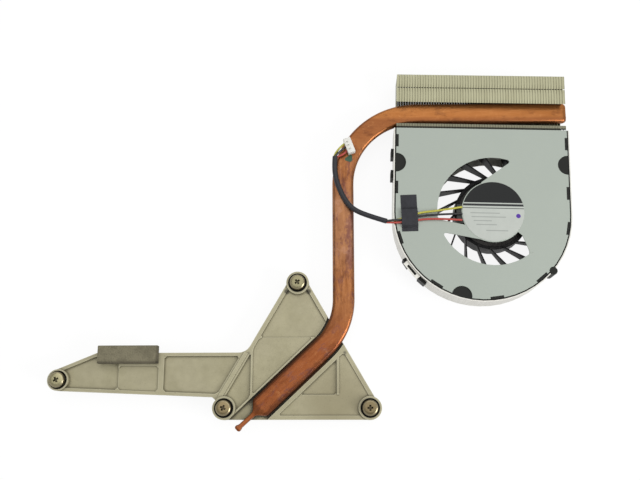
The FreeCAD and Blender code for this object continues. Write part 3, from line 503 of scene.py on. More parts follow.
# Painted highlight: each head is lighter round its rim than in its middle.
head_middle_unhighlighted = sum(plated.near(plated_plan, (x, y, 0), head_radius - 0.8, head_radius - 0.4)
                  for x, y in screw_places)
plated.coloured(plated.mixed(plated_stain, (0.20, 0.18, 0.10), (0.37, 0.34, 0.205)),
                (browned * 0.6, (0.24, 0.165, 0.082)),
                (dulled * 0.3, (0.09, 0.075, 0.045)),
                (paled * 0.5, (0.50, 0.46, 0.27)),
                ((1 - head_middle_unhighlighted) * 0.55, (0.60, 0.52, 0.33)),
                (painted_recess_and_side_shade * 0.8, (0.035, 0.03, 0.022)))
plated.feed("Roughness", 0.20 + 0.22 * plated_stain)
plated.bump(plated.noise(plated_place, 7.0, 3.0), 0.012)
first_recess, next_recess = 10, 27
for number, (x, y) in enumerate(screw_places, 1):
    screw_copy = placed_copy(screw, "screw_piece_%d" % number, (x, y, 0))
    screw_copy.data.transform(Matrix.Translation(Vector((x, y, 0)) * mm)
                              @ Matrix.Rotation(radians(first_recess + next_recess * number), 4, "Z")
                              @ Matrix.Translation(Vector((-x, -y, 0)) * mm))
    fitted(screw_copy, plated, "screw_%d" % number, "screw_steel", "captive_screw_%d" % number)
bpy.data.objects.remove(screw)

# Screw springs
# Coils of hard-drawn steel wire between the floor of each boss and the head of its screw. They push the
# screw up until its washer meets the casting, and shorten as it is driven home, though here each is drawn
# at one length and does not shorten.
spring_low, spring_length, spring_wire, spring_turns = cup_floor, 3.1, 0.5, 4
coil_radius, press_travel = 2.24, 1.3
bpy.ops.mesh.primitive_circle_add(vertices=10, radius=spring_wire / 2 * mm, fill_type="NOTHING",
                                  rotation=(radians(90), 0, 0),
                                  location=(coil_radius * mm, 0, (spring_low + spring_wire / 2) * mm))
spring = bpy.context.object
bpy.ops.object.transform_apply(location=True, rotation=True, scale=True)
coil = spring.modifiers.new("coil", "SCREW")
coil.angle = radians(360)
coil.screw_offset = (spring_length - spring_wire) / spring_turns * mm
coil.iterations = spring_turns
coil.steps = 28
coil.render_steps = 28
coil.use_merge_vertices = False
bpy.ops.object.modifier_apply(modifier="coil")
edit_all()
bpy.ops.mesh.fill_holes(sides=0)
bpy.ops.mesh.normals_make_consistent(inside=False)
edit_done()
smoothed(60)
spring_steel = Finish("spring_wire", metallic=1.0)
spring_shade = spring_steel.toned((0.22, 0.22, 0.21), (0.42, 0.42, 0.40), 1.4)
spring_steel.feed("Roughness", 0.3 + 0.2 * spring_shade)
for number, (x, y) in enumerate(screw_places, 1):
    spring_copy = placed_copy(spring, "spring_piece_%d" % number, (x, y, 0))
    fitted(spring_copy, spring_steel, "heatsink", "spring_steel", "screw_spring_%d" % number)
    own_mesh(spring_copy)
bpy.data.objects.remove(spring)

# Retaining washers
# Thin plated washers pushed on to the shoulders of the screws from below, with rounded rims. They stop
# the screws from falling out of the casting.
bore_radius, washer_radius, washer_low, washer_high = 1.56, 2.58, 0.3, 0.8
washer_profile = [(bore_radius, washer_low + 0.06), (bore_radius + 0.06, washer_low),
                  (washer_radius - 0.13, washer_low), (washer_radius, washer_low + 0.1),
                  (washer_radius, washer_high - 0.1), (washer_radius - 0.13, washer_high),
                  (bore_radius + 0.06, washer_high), (bore_radius, washer_high - 0.06),
                  (bore_radius, washer_low + 0.06)]
washer = turned_ring("washer_master", washer_profile, steps=40)
smoothed(35)
washer_plate = Finish("plated_washer", metallic=1.0)
washer_shade = washer_plate.toned((0.38, 0.38, 0.37), (0.58, 0.58, 0.56), 1.1)
washer_plate.feed("Roughness", 0.28 + 0.22 * washer_shade)
for number, (x, y) in enumerate(screw_places, 1):
    washer_copy = placed_copy(washer, "washer_piece_%d" % number, (x, y, 0))
    fitted(washer_copy, washer_plate, "screw_%d_washer" % number, "steel", "retaining_washer_%d" % number)
bpy.data.objects.remove(washer)

# Heat pipe
# A drawn copper tube, pressed flat and bent in one plane, soldered into the groove of the casting and
# on to the fins. A crimped nose closes it at the fins and a fill stem at the base, and heat has stained it.
pipe_width, pipe_thickness, pipe_middle, base_bend, fin_bend = 8.2, 3.0, 3.3, 25.5, 28.7
base_angle, fin_angle, pipe_x = 43.3, -0.55, 17.3
corner_y, top_y, fin_end_x, base_run = 13.6, 98.3, 103.0, 41.5


def heading(angle):
    return Vector((cos(radians(angle)), sin(radians(angle)), 0))


first_turn = 90 - base_angle
second_turn = 90 - fin_angle
first_tangent = base_bend * tan(radians(first_turn / 2))
second_tangent = fin_bend * tan(radians(second_turn / 2))
pipe_corner = Vector((pipe_x, corner_y, pipe_middle))
pipe_start = pipe_corner - heading(base_angle) * base_run
bpy.ops.mesh.primitive_circle_add(vertices=32, radius=pipe_thickness / 2 * mm, fill_type="NGON")
pipe = bpy.context.object
pipe.name = "pipe_tube"
for vertex in pipe.data.vertices:
    side = 1 if vertex.co.x > 0 else -1
    vertex.co.x += side * (pipe_width - pipe_thickness) / 2 * mm
across = heading(base_angle + 90)
pipe.data.transform(Matrix.Translation(pipe_start * mm)
                    @ Matrix((across, (0, 0, 1), heading(base_angle))).transposed().to_4x4())


def end_face(piece, place):
    """Selects the one face whose middle is nearest to a place, in millimetres, in edit mode."""
    form = bmesh.from_edit_mesh(piece.data)
    for face in form.faces:
        face.select_set(False)
    closest = min(form.faces, key=lambda face: (face.calc_center_median() - Vector(place) * mm).length)
    closest.select_set(True)
    bmesh.update_edit_mesh(piece.data)


def reshaped(piece, centre, across, width_share, height_share):
    """Scales the selected vertices about a centre, across the run and upwards."""
    form = bmesh.from_edit_mesh(piece.data)
    for vertex in form.verts:
        if vertex.select:
            offset = vertex.co - Vector(centre) * mm
            vertex.co += across * offset.dot(across) * (width_share - 1)
            vertex.co.z += offset.z * (height_share - 1)
    bmesh.update_edit_mesh(piece.data)


def run_on(step):
    bpy.ops.mesh.extrude_region_move(TRANSFORM_OT_translate={"value": Vector(step) * mm})


edit_all()
run_on(heading(base_angle) * (base_run - first_tangent))
bend_start = pipe_corner - heading(base_angle) * first_tangent
bpy.ops.mesh.spin(steps=20, angle=-radians(first_turn), axis=(0, 0, 1),
                  center=(bend_start + across * base_bend) * mm)
climb = top_y - corner_y - first_tangent - second_tangent
run_on((0, climb, 0))
bend_start = Vector((pipe_x, top_y - second_tangent, pipe_middle))
bpy.ops.mesh.spin(steps=36, angle=radians(second_turn), axis=(0, 0, 1),
                  center=(bend_start + Vector((fin_bend, 0, 0))) * mm)
fin_way = heading(fin_angle)
fin_run = (fin_end_x - pipe_x) / cos(radians(fin_angle)) - second_tangent
run_on(fin_way * fin_run)
fin_end = Vector((pipe_x, top_y, pipe_middle)) + fin_way * (fin_run + second_tangent)
nose_steps = ((0.5, 0.97, 0.9), (0.6, 0.93, 0.8), (0.4, 0.88, 0.72))
for step, width_share, height_share in nose_steps:
    run_on(fin_way * step)
    fin_end += fin_way * step
    reshaped(pipe, fin_end, heading(fin_angle + 90), width_share, height_share)
end_face(pipe, pipe_start)
neck = pipe_start.copy()
base_way = -heading(base_angle)
neck_length, neck_steps, stem_width, stem_height = 4.2, 9, 1.75, 1.8
width, height = pipe_width, pipe_thickness
for number in range(1, neck_steps + 1):
    narrowing = (1 - cos(radians(180 * number / neck_steps))) / 2
    next_width = pipe_width + (stem_width - pipe_width) * narrowing
    next_height = pipe_thickness + (stem_height - pipe_thickness) * narrowing
    run_on(base_way * neck_length / neck_steps)
    neck += base_way * neck_length / neck_steps
    reshaped(pipe, neck, across, next_width / width, next_height / height)
    width, height = next_width, next_height
stem_angle = 42.0
stem_way = -heading(stem_angle)
stem_steps = ((1.2, 0.98), (4.7, 1.0), (0.5, 1.2), (0.5, 1.2), (0.6, 1.0), (0.35, 0.8), (0.15, 0.6))
for step, share in stem_steps:
    run_on(stem_way * step)
    neck += stem_way * step
    reshaped(pipe, neck, heading(stem_angle + 90), share, share)
bpy.ops.mesh.select_all(action="SELECT")
bpy.ops.mesh.remove_doubles(threshold=0.001 * mm)
bpy.ops.mesh.normals_make_consistent(inside=False)
edit_done()
smoothed(45)
copper = Finish("stained_copper", metallic=0.85)
pipe_place = copper.place()
pipe_y = copper.axis(pipe_place, "Y")
on_base = 1 - copper.rise(pipe_y, 4.0, 26.0)
on_fins = copper.rise(pipe_y, 78.0, 93.0)
on_climb = copper.rise(pipe_y, 30.0, 46.0) * (1 - copper.rise(pipe_y, 62.0, 72.0))
streak, stain, purple = 0, 0, 0
between = (1 - on_base) * (1 - on_fins)
for run_angle, run_share in ((base_angle, on_base), (90, between), (fin_angle, on_fins)):
    run_place = copper.place((0, 0, 0), run_angle)
    run_streak = copper.noise(copper.stretched(run_place, 0.14, 1.0, 1.0), 1.0, 6.0, 0.7)
    run_stain = copper.noise(copper.stretched(run_place, 0.5, 1.0, 1.0), 0.25, 8.0, 0.75)
    run_purple = copper.noise(copper.stretched(run_place, 0.45, 1.0, 1.0), 0.36, 7.0, 0.75)
    streak = streak + run_share * run_streak
    stain = stain + run_share * run_stain
    purple = purple + run_share * run_purple
streak = copper.rise(streak, 0.25, 0.75)
blot = copper.rise(copper.noise(pipe_place, 0.5, 8.0, 0.8), 0.54, 0.72)
from_base_line = copper.node("ShaderNodeMath", {"operation": "ABSOLUTE"},
                             {0: copper.axis(copper.place(pipe_corner, base_angle), "Y")})
soldered = copper.rise(from_base_line + 3.0 * stain, 3.2, 5.2) * on_base
right_side = copper.rise(copper.axis(pipe_place, "X") - pipe_x, -1.0, 3.0)
purple = copper.rise(purple + 0.13 * right_side * on_climb, 0.50, 0.64) * (1 - on_fins)
# Painted highlight and shade across the fin run: lighter towards the rear, darker along the front edge.
across_fins = copper.axis(copper.place(fin_end, fin_angle), "Y") + 2.0 * (stain - 0.5)
painted_rear_highlight = copper.rise(across_fins, -1.0, 2.5) * on_fins
painted_front_shade = (1 - copper.rise(across_fins, -3.2, -1.0)) * on_fins
tarnish = copper.rise(stain, 0.50, 0.70)
bloom = copper.rise(copper.noise(pipe_place, 0.22, 6.0, 0.7), 0.50, 0.62) * on_climb
# Painted shade: the sides of the pipe, turned away from the top, are darkened.
painted_pipe_side_shade = 1 - copper.rise(copper.upward("Normal"), 0.0, 0.55)
copper.coloured(copper.mixed(streak, (0.25, 0.086, 0.026), (0.42, 0.175, 0.066)),
                (on_climb * 0.4, (0.35, 0.185, 0.10)),
                (on_fins * 0.5, (0.47, 0.168, 0.037)),
                (on_base * 0.6, (0.24, 0.052, 0.012)),
                (purple * 0.75, (0.16, 0.062, 0.055)),
                (soldered * 0.6, (0.075, 0.024, 0.012)),
                (painted_rear_highlight * 0.2, (0.50, 0.225, 0.07)),
                (painted_front_shade * 0.55, (0.19, 0.06, 0.025)),
                (tarnish * 0.65, (0.115, 0.034, 0.014)),
                (blot * 0.4, (0.60, 0.29, 0.11)),
                (bloom * 0.3, (0.50, 0.27, 0.18)),
                (painted_pipe_side_shade * 0.55, (0.09, 0.03, 0.012)))
copper.feed("Roughness", 0.24 + 0.24 * stain)
copper.bump(streak * 0.4 + copper.noise(pipe_place, 0.7, 3.0) * 0.6, 0.06)
fitted(pipe, copper, "heatsink", "copper_pipe", "heat_pipe")

# Inspection mark
# A dab of green paint, brushed on the top of the pipe beside the plug of the lead. It has dried to a thin
# skin with an uneven outline.
dab_length, dab_depth, dab_skin, dab_edge, dab_wave = 1.5, 1.25, 0.06, 0.25, 0.18
dab_place, dab_turn = Vector((19.8, 79.5, 4.78)), 35.0
bpy.ops.mesh.primitive_circle_add(vertices=24, radius=mm, fill_type="NGON")
dab = bpy.context.object
dab.name = "green_dab"
edit_all()
run_on((0, 0, dab_skin))
bpy.ops.mesh.inset(thickness=dab_edge * mm, depth=0)
edit_done()
for vertex in dab.data.vertices:
    bearing = vertex.co.xy.angle_signed(Vector((1, 0)), 0.0)
    reach = 1 + dab_wave * sin(3 * bearing)
    vertex.co.x *= dab_length * reach
    vertex.co.y *= dab_depth * reach
dab.data.transform(Matrix.Translation(dab_place * mm) @ Matrix.Rotation(radians(dab_turn), 4, "Z"))
paint = Finish("green_paint", roughness=0.35)
paint.toned((0.010, 0.045, 0.025), (0.03, 0.11, 0.055), 1.5)
fitted(dab, paint, "heatsink", "copper_pipe")

# Fin stack
# Thin sheet fins, each folded over at top and bottom. The top folds close into one deck with a seam
# across it and a narrow lip at the front. Between deck and lip the fins are cut away for the pipe.
fan_centre = Vector((73.9, 56.9, 0))
fan_turn = -1.9
fin_count, fin_pitch, fin_thickness, fold_gap = 63, 1.035, 0.2, 0.08
row_middle = -4.1
fin_left = row_middle - fin_count * fin_pitch / 2
fin_front, fin_seat, deck_front, fin_rear = 33.4, 46.9, 43.9, 55.4
fin_low, seat_height, fin_high = -3.8, 1.8, 7.1
seam_low, seam_high = 49.75, 50.1
lip_sheet, lip_back, lip_high = 0.3, 35.0, 6.88
bpy.ops.mesh.primitive_circle_add(vertices=10, radius=1.0, fill_type="NGON")
fins = bpy.context.object
fins.name = "fin_row"
fin_outline = ((fin_front, fin_low), (fin_rear, fin_low), (fin_rear, fin_high), (deck_front, fin_high),
               (fin_seat, seat_height), (fin_front + lip_sheet, seat_height),
               (fin_front + lip_sheet, lip_high - fin_thickness), (lip_back, lip_high - fin_thickness),
               (lip_back, lip_high), (fin_front, lip_high))
for vertex, (y, z) in zip(fins.data.vertices, fin_outline):
    vertex.co = Vector((0, y, z)) * mm
edit_all()
run_on((fin_thickness, 0, 0))
for cut_place, cut_way in (((0, 0, fin_high - fin_thickness), (0, 0, 1)),
                           ((0, 0, lip_high - fin_thickness), (0, 0, 1)),
                           ((0, 0, fin_low + fin_thickness), (0, 0, 1)),
                           ((0, seam_low, 0), (0, 1, 0)), ((0, seam_high, 0), (0, 1, 0))):
    bpy.ops.mesh.select_all(action="SELECT")
    bpy.ops.mesh.bisect(plane_co=Vector(cut_place) * mm, plane_no=cut_way)
bpy.ops.mesh.select_all(action="SELECT")
bpy.ops.mesh.normals_make_consistent(inside=False)
bpy.ops.mesh.select_all(action="DESELECT")
form = bmesh.from_edit_mesh(fins.data)
for face in form.faces:
    middle = face.calc_center_median() / mm
    in_lip = middle.y < deck_front and middle.z > lip_high - fin_thickness
    in_deck = middle.z > fin_high - fin_thickness and not seam_low < middle.y < seam_high
    in_sole = middle.z < fin_low + fin_thickness
    if face.normal.x > 0.9 and (in_lip or in_deck or in_sole):
        face.select_set(True)
bmesh.update_edit_mesh(fins.data)
run_on((fin_pitch - fold_gap - fin_thickness, 0, 0))
edit_done()
row = fins.modifiers.new("row", "ARRAY")
row.count = fin_count
row.use_relative_offset = False
row.use_constant_offset = True
row.constant_offset_displace = (fin_pitch * mm, 0, 0)
bpy.ops.object.modifier_apply(modifier="row")
fins.data.transform(Matrix.Translation(fan_centre * mm) @ Matrix.Rotation(radians(fan_turn), 4, "Z")
                    @ Matrix.Translation((fin_left * mm, 0, 0)))
fin_sheet = Finish("fin_sheet", metallic=0.7)
fin_place = fin_sheet.place(fan_centre, fan_turn)
fin_tone = fin_sheet.noise(fin_sheet.stretched(fin_place, 1.0, 0.08, 0.2), 0.97, 3.0)
fin_cloud = fin_sheet.noise(fin_place, 0.12, 4.0)
fold_share = fin_sheet.node("ShaderNodeMath", {"operation": "FRACT"},
                            {0: (fin_sheet.axis(fin_place, "X") - fin_left) / fin_pitch})
fin_y = fin_sheet.axis(fin_place, "Y")
from_seam = fin_sheet.node("ShaderNodeMath", {"operation": "ABSOLUTE"},
                           {0: fin_y - (seam_low + seam_high) / 2})
at_seam = 1 - fin_sheet.rise(from_seam, 0.6, 2.2)
at_deck_edge = fin_sheet.rise(from_seam, 4.2, 5.4)
# Painted shade: a dark line at each fold of the fins, strongest at the seam and the deck's edges.
painted_fold_shade = fin_sheet.rise(fold_share, 0.5, 0.9) * (0.35 + 0.4 * at_seam + 0.3 * at_deck_edge)
# Painted shade: the fins are darkened low down, below the pipe's seat.
painted_low_fin_shade = 1 - fin_sheet.rise(fin_sheet.axis(fin_place, "Z"), fin_low + 0.3, seat_height - 0.5)
# Painted shade: the lip at the front is darkened, and its front edge is nearly black as the gap above the
# cover.
painted_lip_shade = 1 - fin_sheet.rise(fin_y, lip_back + 0.1, lip_back + 0.6)
painted_lip_gap_shade = 1 - fin_sheet.rise(fin_y, fin_front + 0.4, fin_front + 0.6)
fin_sheet.coloured(fin_sheet.mixed(fin_tone, (0.34, 0.33, 0.21), (0.52, 0.51, 0.345)),
                   (fin_cloud * 0.4, (0.38, 0.355, 0.225)),
                   (painted_fold_shade, (0.13, 0.12, 0.072)),
                   (painted_low_fin_shade * 0.8, (0.03, 0.028, 0.02)),
                   (painted_lip_shade * 0.7, (0.13, 0.125, 0.092)),
                   (painted_lip_gap_shade * 0.9, (0.012, 0.012, 0.010)))
fin_sheet.feed("Roughness", 0.40 + 0.2 * fin_cloud)
fin_sheet.bump(fin_tone, 0.02)
fitted(fins, fin_sheet, "heatsink", "fin_metal", "fin_stack")

# Fan tray
# Bright tinned sheet, drawn into a U-shaped wall with an inlet in its floor and a tongue under the fins.
# Windows in the wall take the posts of the plastic frame, and a slotted lug stands out at the front left.
tray = solid_copy("fan_tray", "tray_sheet")
smoothed(25)
tinned = Finish("tinned_sheet", metallic=0.95)
tray_place = tinned.place(fan_centre, fan_turn)
draw_marks = tinned.noise(tinned.stretched(tray_place, 1.2, 1.2, 0.1), 1.1, 5.0, 0.6)
tray_cloud = tinned.noise(tray_place, 0.15, 4.0)
# Painted shade: the tray's upward faces under the fins are darkened almost to black.
painted_tray_shade = tinned.rise(tinned.axis(tray_place, "Y"), fin_front - 0.3, fin_front + 0.3)
painted_tray_shade = painted_tray_shade * tinned.rise(tinned.upward(), 0.3, 0.6)
tinned.coloured(tinned.mixed(draw_marks, (0.50, 0.49, 0.44), (0.74, 0.73, 0.68)),
                (painted_tray_shade * 0.95, (0.014, 0.013, 0.011)))
tinned.feed("Roughness", 0.26 + 0.25 * tray_cloud)
tinned.bump(draw_marks, 0.015)
fitted(tray, tinned, "heatsink", "tray_metal", "fan_tray")

# Fan frame
# A moulded black nylon scroll between the tray and the cover, with staked tabs that hold the cover, posts
# through the tray's wall and a solid cut-off beside the outlet.
scroll = solid_copy("fan_frame", "scroll_frame")
smoothed(25)
nylon = Finish("black_nylon", roughness=0.5, specular_ior_level=0.15)
nylon.bump(nylon.toned((0.010, 0.0105, 0.009), (0.026, 0.027, 0.024), 5.0), 0.02)
fitted(scroll, nylon, "heatsink", "black_plastic", "fan_frame")

# Impeller
# Moulded black rotor: a cup hub with flat swept blades that throw the air out to the fins. The blades are
# a little glossy from the tool.
rotor = solid_copy("impeller", "rotor_blades")
softened(rotor, 0.08, angle=40.0)
rotor_plastic = Finish("rotor_plastic", specular_ior_level=0.1)
rotor_dust = rotor_plastic.noise(rotor_plastic.place(), 0.8, 5.0, 0.7)
rotor_plastic.coloured(rotor_plastic.mixed(rotor_plastic.rise(rotor_dust, 0.45, 0.8),
                                           (0.004, 0.004, 0.0045), (0.028, 0.027, 0.026)))
rotor_plastic.feed("Roughness", 0.3 + 0.3 * rotor_dust)
fitted(rotor, rotor_plastic, "rotor", "rotor_plastic", "impeller")

# Motor
# Inside the hub: a bonded magnet, a ground shaft in a brass bearing, a lamination stack with six enamelled
# windings and a small dark board. They are glued and staked to the hub or to the cover.
for node, name, metallic, roughness, dark, light in (
        ("magnet_ring", "bonded_magnet", 0.2, 0.6, (0.03, 0.028, 0.027), (0.07, 0.066, 0.062)),
        ("rotor_shaft", "ground_shaft", 1.0, 0.18, (0.48, 0.48, 0.48), (0.66, 0.66, 0.66)),
        ("bearing_holder", "bearing_brass", 1.0, 0.32, (0.46, 0.32, 0.12), (0.64, 0.47, 0.20)),
        ("stator_core", "lamination_steel", 0.9, 0.45, (0.16, 0.165, 0.18), (0.30, 0.305, 0.32)),
        ("stator_coils", "enamelled_wire", 0.85, 0.3, (0.30, 0.10, 0.035), (0.52, 0.20, 0.08)),
        ("motor_board", "board_laminate", 0.0, 0.45, (0.010, 0.014, 0.012), (0.026, 0.032, 0.028))):
    inner = Finish(name, metallic=metallic, roughness=roughness)
    inner.bump(inner.toned(dark, light, 1.6), 0.01)
    dressed(node, inner)

# Fan cover
# A flat plate of satin grey-green coated sheet with two crescent inlets, held by the staked tabs of the
# frame. Its edge is nicked for the tabs, and three half rounds are punched out of it.
inlet_radius, inlet_y, inlet_round = 21.0, 0.4, 1.7


def in_fan(x, y, z):
    """A place in the fan's own directions, from its centre, as a place in the frame's."""
    turn = radians(fan_turn)
    return (fan_centre.x + x * cos(turn) - y * sin(turn),
            fan_centre.y + x * sin(turn) + y * cos(turn), z)


cover = solid_copy("fan_cover", "cover_plate")
bpy.ops.object.mode_set(mode="EDIT")
bpy.ops.mesh.select_mode(type="EDGE")
bpy.ops.mesh.select_all(action="DESELECT")
form = bmesh.from_edit_mesh(cover.data)
inlet_centre = Vector(in_fan(0, inlet_y, 0))
for edge in form.edges:
    start, end = (vertex.co / mm - inlet_centre for vertex in edge.verts)
    upright = (start.xy - end.xy).length < 0.01
    at_inlet = abs(start.xy.length - inlet_radius) < 0.1
    if upright and at_inlet and edge.calc_face_angle(0.0) > radians(30):
        edge.select_set(True)
bmesh.update_edit_mesh(cover.data)
bpy.ops.mesh.bevel(offset=inlet_round * mm, segments=6, affect="EDGES")
bpy.ops.mesh.select_mode(type="VERT")
edit_done()
softened(cover, 0.06, angle=50.0)
satin = Finish("satin_cover", metallic=0.35)
cover_place = satin.place(fan_centre, fan_turn)
cover_grain = satin.noise(cover_place, 5.5, 5.0, 0.7)
cover_cloud = satin.noise(cover_place, 0.07, 4.0, 0.6)
scuff = satin.rise(satin.noise(satin.stretched(cover_place, 0.25, 1.6, 1.0), 0.9, 4.0, 0.7), 0.62, 0.74)
satin.coloured(satin.mixed(cover_cloud, (0.345, 0.385, 0.34), (0.40, 0.44, 0.388)),
               (scuff * 0.12, (0.58, 0.62, 0.57)),
               (cover_grain * 0.2, (0.30, 0.33, 0.30)))
satin.feed("Roughness", 0.42 + 0.16 * cover_cloud)
satin.bump(cover_grain, 0.012)
fitted(cover, satin, "heatsink", "cover_metal", "fan_cover")

# Motor label
# A round film label stuck over the end of the bearing. It is printed on silver, with a dark field at the
# top, two plain rules, blank bars below them and a violet dot at the right.
label_radius, label_low, label_thickness = 11.55, 7.3, 0.07
bpy.ops.mesh.primitive_circle_add(vertices=96, radius=label_radius * mm, fill_type="NGON",
                                  location=fan_centre * mm + Vector((0, 0, label_low * mm)))
label = bpy.context.object
label.name = "label_film"
bpy.ops.object.transform_apply(location=True, rotation=True, scale=True)
edit_all()
run_on((0, 0, label_thickness))
bpy.ops.mesh.inset(thickness=0.06 * mm, depth=0.02 * mm)
bpy.ops.mesh.select_all(action="SELECT")
bpy.ops.mesh.normals_make_consistent(inside=False)
edit_done()
film = Finish("printed_film", metallic=0.25, specular_ior_level=0.25)
film_place = film.place(fan_centre, fan_turn)
film_x = film.axis(film_place, "X")
film_y = film.axis(film_place, "Y")


def band(value, low, high, edge=0.05):
    """1 between two limits, with a narrow soft edge."""
    return film.rise(value, low - edge, low + edge) * (1 - film.rise(value, high - edge, high + edge))


film_cloud = film.noise(film_place, 0.35, 4.0)
bar_width = 0.35
bars = sum(band(film_y, low, low + bar_width) * band(film_x, left, right)
           for low, left, right in ((-0.85, -8.6, 2.4), (-2.35, -8.2, 4.6), (-3.85, -7.4, -0.6),
                                    (-5.35, -6.4, 1.2), (-7.6, -2.8, 5.4)))
dark_field = film.rise(film_y, 3.35, 3.45)
rules = band(film_y, 2.1, 2.95) + band(film_y, 1.15, 1.4)
violet_dot = film.near(film_place, (9.3, -1.6, 7.4), 0.75, 0.95)
film.coloured(film.mixed(film_cloud, (0.41, 0.435, 0.40), (0.50, 0.525, 0.485)),
              (bars * 0.5, (0.16, 0.17, 0.165)),
              (dark_field, (0.014, 0.015, 0.015)),
              (rules, (0.03, 0.032, 0.032)),
              (violet_dot, (0.09, 0.035, 0.30)))
film.feed("Roughness", 0.3 + 0.15 * film_cloud)
fitted(label, film, "heatsink", "label", "motor_label")

# Wire tape
# A short strip of black cloth tape that holds the wires down on the cover, stuck on a little askew. Its
# weave shows as fine ribs, and it is raised where the wires pass under it.
tape = solid_copy("wire_tape", "cloth_tape")
tape_turn = 3.3
tape_middle = sum((Vector(place) for place in tape.bound_box), Vector()) / 8
tape.data.transform(Matrix.Translation(tape_middle) @ Matrix.Rotation(radians(tape_turn), 4, "Z")
                    @ Matrix.Translation(-tape_middle))
softened(tape, 0.05, angle=20.0)
cloth = Finish("cloth_tape", roughness=0.7)
tape_place = cloth.place(fan_centre, fan_turn)
weave, cross = (cloth.node("ShaderNodeTexWave", {"bands_direction": direction},
                           {"Vector": tape_place, "Scale": 1.1, "Distortion": 0.4}, "Fac")
                for direction in "XY")
lint = cloth.noise(tape_place, 0.5, 4.0)
cloth.coloured(cloth.mixed(lint, (0.008, 0.008, 0.010), (0.032, 0.033, 0.042)))
cloth.bump(weave * cross, 0.05)
fitted(tape, cloth, "heatsink", "tape", "wire_tape")


# Lead
# Three thin insulated wires from the motor, under the tape and into a black sleeve that bends over the
# pipe to a small plug. The sleeve is limp and lies on the pipe.
def cord_piece(name, points, diameter):
    """A round cord along a smooth curve, whose control points are the route's points in millimetres."""
    curve = bpy.data.curves.new(name, "CURVE")
    curve.dimensions = "3D"
    spline = curve.splines.new("NURBS")
    spline.points.add(len(points) - 1)
    for control, point in zip(spline.points, points):
        control.co = (point[0] * mm, point[1] * mm, point[2] * mm, 1)
    spline.order_u = 3
    spline.use_endpoint_u = True
    spline.resolution_u = 10
    curve.bevel_depth = diameter / 2 * mm
    curve.bevel_resolution = 4
    curve.use_fill_caps = True
    piece = bpy.data.objects.new(name, curve)
    scene.collection.objects.link(piece)
    return piece


wire_diameter, sleeve_diameter = 0.8, 2.0
on_hub, on_cover, mouth_height = 7.72, 7.82, 8.06
mouth_x, mouth_y = -40.0, -4.9
label_x, inlet_x, tape_x = mouth_x + 28.3, mouth_x + 19.8, mouth_x + 12.0
over_wire, bundle_side, bundle_low, bundle_high, crossing = mouth_height + 0.5, 0.42, 0.24, 0.52, 0.24
fan_wire_routes = {
    "yellow": [(label_x, 1.4, on_hub), (inlet_x, -0.2, on_cover),
               (tape_x, -1.2, on_cover), (mouth_x + 6.4, -3.5, on_cover),
               (mouth_x + 3.0, -4.5, on_cover), (mouth_x, mouth_y + 0.3, on_cover)],
    "black": [(label_x, -1.2, on_hub), (inlet_x, -1.7, on_cover),
              (tape_x, -2.5, on_cover), (mouth_x + 5.4, -4.2, on_cover),
              (mouth_x + 3.0, -4.4, over_wire), (mouth_x, mouth_y, over_wire)],
    "red": [(label_x, -3.7, on_hub), (inlet_x, -3.3, on_cover),
            (tape_x, -3.9, on_cover), (mouth_x + 5.4, -5.4, on_cover),
            (mouth_x, mouth_y - bundle_side, on_cover)]}
on_pipe = 5.85
sleeve_points = [in_fan(mouth_x, mouth_y, mouth_height - 0.06), (pipe_x + 9.8, 55.6, 7.35),
                 (pipe_x + 4.0, 58.4, 6.5), (pipe_x + 0.8, 62.3, on_pipe), (pipe_x - 2.2, 68.9, on_pipe),
                 (pipe_x - 3.3, 75.2, on_pipe), (pipe_x - 2.9, 80.0, on_pipe)]
sleeve_end = Vector(sleeve_points[-1])
under_end = sleeve_end.xy.to_3d()
plug_centre, plug_turn, plug_depth, in_plug, pin_pitch = Vector((19.9, 84.2, 4.8)), -70.0, 2.9, 6.1, 1.5
plug_face = plug_centre.xy.to_3d() + heading(plug_turn - 90) * plug_depth / 2 + Vector((0, 0, in_plug))
plug_wire_points = {
    "yellow": [sleeve_end + Vector((-bundle_side, 0, -bundle_low)), under_end + Vector((0.5, 2.6, in_plug)),
               plug_face - heading(plug_turn) * pin_pitch],
    "black": [sleeve_end + Vector((0, 0, bundle_high)), under_end + Vector((1.6, 1.9, in_plug + crossing)),
              plug_face],
    "red": [sleeve_end + Vector((bundle_side, 0, -bundle_low)),
            under_end + Vector((3.0, 0.4, in_plug - crossing)),
            plug_face + heading(plug_turn) * pin_pitch]}
for colour, dark, light in (("yellow", (0.38, 0.355, 0.03), (0.56, 0.53, 0.09)),
                            ("black", (0.010, 0.010, 0.011), (0.03, 0.03, 0.032)),
                            ("red", (0.34, 0.04, 0.03), (0.52, 0.085, 0.065))):
    insulation = Finish(colour + "_insulation", roughness=0.4)
    insulation.bump(insulation.toned(dark, light, 0.8, 3.0), 0.01)
    fan_points = [in_fan(*place) for place in fan_wire_routes[colour]]
    fan_wire = cord_piece(colour + "_wire_at_fan", fan_points, wire_diameter)
    fitted(fan_wire, insulation, "heatsink", "wire_" + colour, "fan_wire_" + colour)
    plug_wire = cord_piece(colour + "_wire_at_plug", plug_wire_points[colour], wire_diameter)
    fitted(plug_wire, insulation, "heatsink", "wire_" + colour, "plug_wire_" + colour)
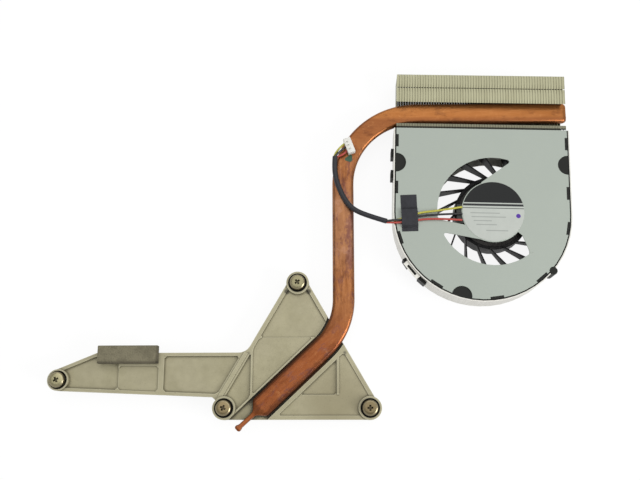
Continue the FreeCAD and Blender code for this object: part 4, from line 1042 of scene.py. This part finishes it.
sleeve = cord_piece("lead_tube", sleeve_points, sleeve_diameter)
tubing = Finish("black_tubing", roughness=0.55)
tubing.toned((0.007, 0.007, 0.009), (0.028, 0.029, 0.036), 0.9)
tubing.bump(tubing.noise(tubing.place(), 2.6, 3.0), 0.04)
fitted(sleeve, tubing, "heatsink", "sleeve", "lead_sleeve")

# Plug
# A small moulded nylon plug for the three wires, off-white, open at its mating side and with windows
# over its crimped terminals. It rests on the pipe until the fan is wired up.
plug_length, plug_height, plug_edge, plug_wall, plug_hollow = 6.2, 2.6, 0.16, 0.32, 1.6
window_width, window_length, window_depth, window_y = 0.7, 1.1, 0.7, -0.6
bpy.ops.mesh.primitive_cube_add(size=1.0)
plug = bpy.context.object
plug.name = "plug_shell"
plug.data.transform(Matrix.Translation((0, 0, plug_height / 2 * mm))
                    @ Matrix.Diagonal((plug_length * mm, plug_depth * mm, plug_height * mm, 1)))
edit_all()
bpy.ops.mesh.bevel(offset=plug_edge * mm, segments=2, affect="EDGES")
end_face(plug, (0, plug_depth / 2, plug_height / 2))
bpy.ops.mesh.inset(thickness=plug_wall * mm, depth=0)
run_on((0, -plug_hollow, 0))
edit_done()
for number in (-1, 0, 1):
    bpy.ops.mesh.primitive_cube_add(size=1.0)
    cutter = bpy.context.object
    cutter.data.transform(Matrix.Translation(Vector((number * pin_pitch, window_y, plug_height)) * mm)
                          @ Matrix.Diagonal((window_width * mm, window_length * mm, window_depth * mm, 1)))
    cut_by(plug, cutter)
smoothed(35)
plug.data.transform(Matrix.Translation(plug_centre * mm) @ Matrix.Rotation(radians(plug_turn), 4, "Z"))
shell = Finish("plug_nylon", roughness=0.42)
shell.bump(shell.toned((0.66, 0.65, 0.60), (0.80, 0.79, 0.74), 0.6), 0.01)
fitted(plug, shell, "heatsink", "plug_plastic", "plug_housing")
tin = Finish("tinned_terminal", metallic=1.0, roughness=0.3)
tin.toned((0.46, 0.44, 0.38), (0.66, 0.64, 0.56), 2.0, 3.0)
dressed("plug_terminals", tin)
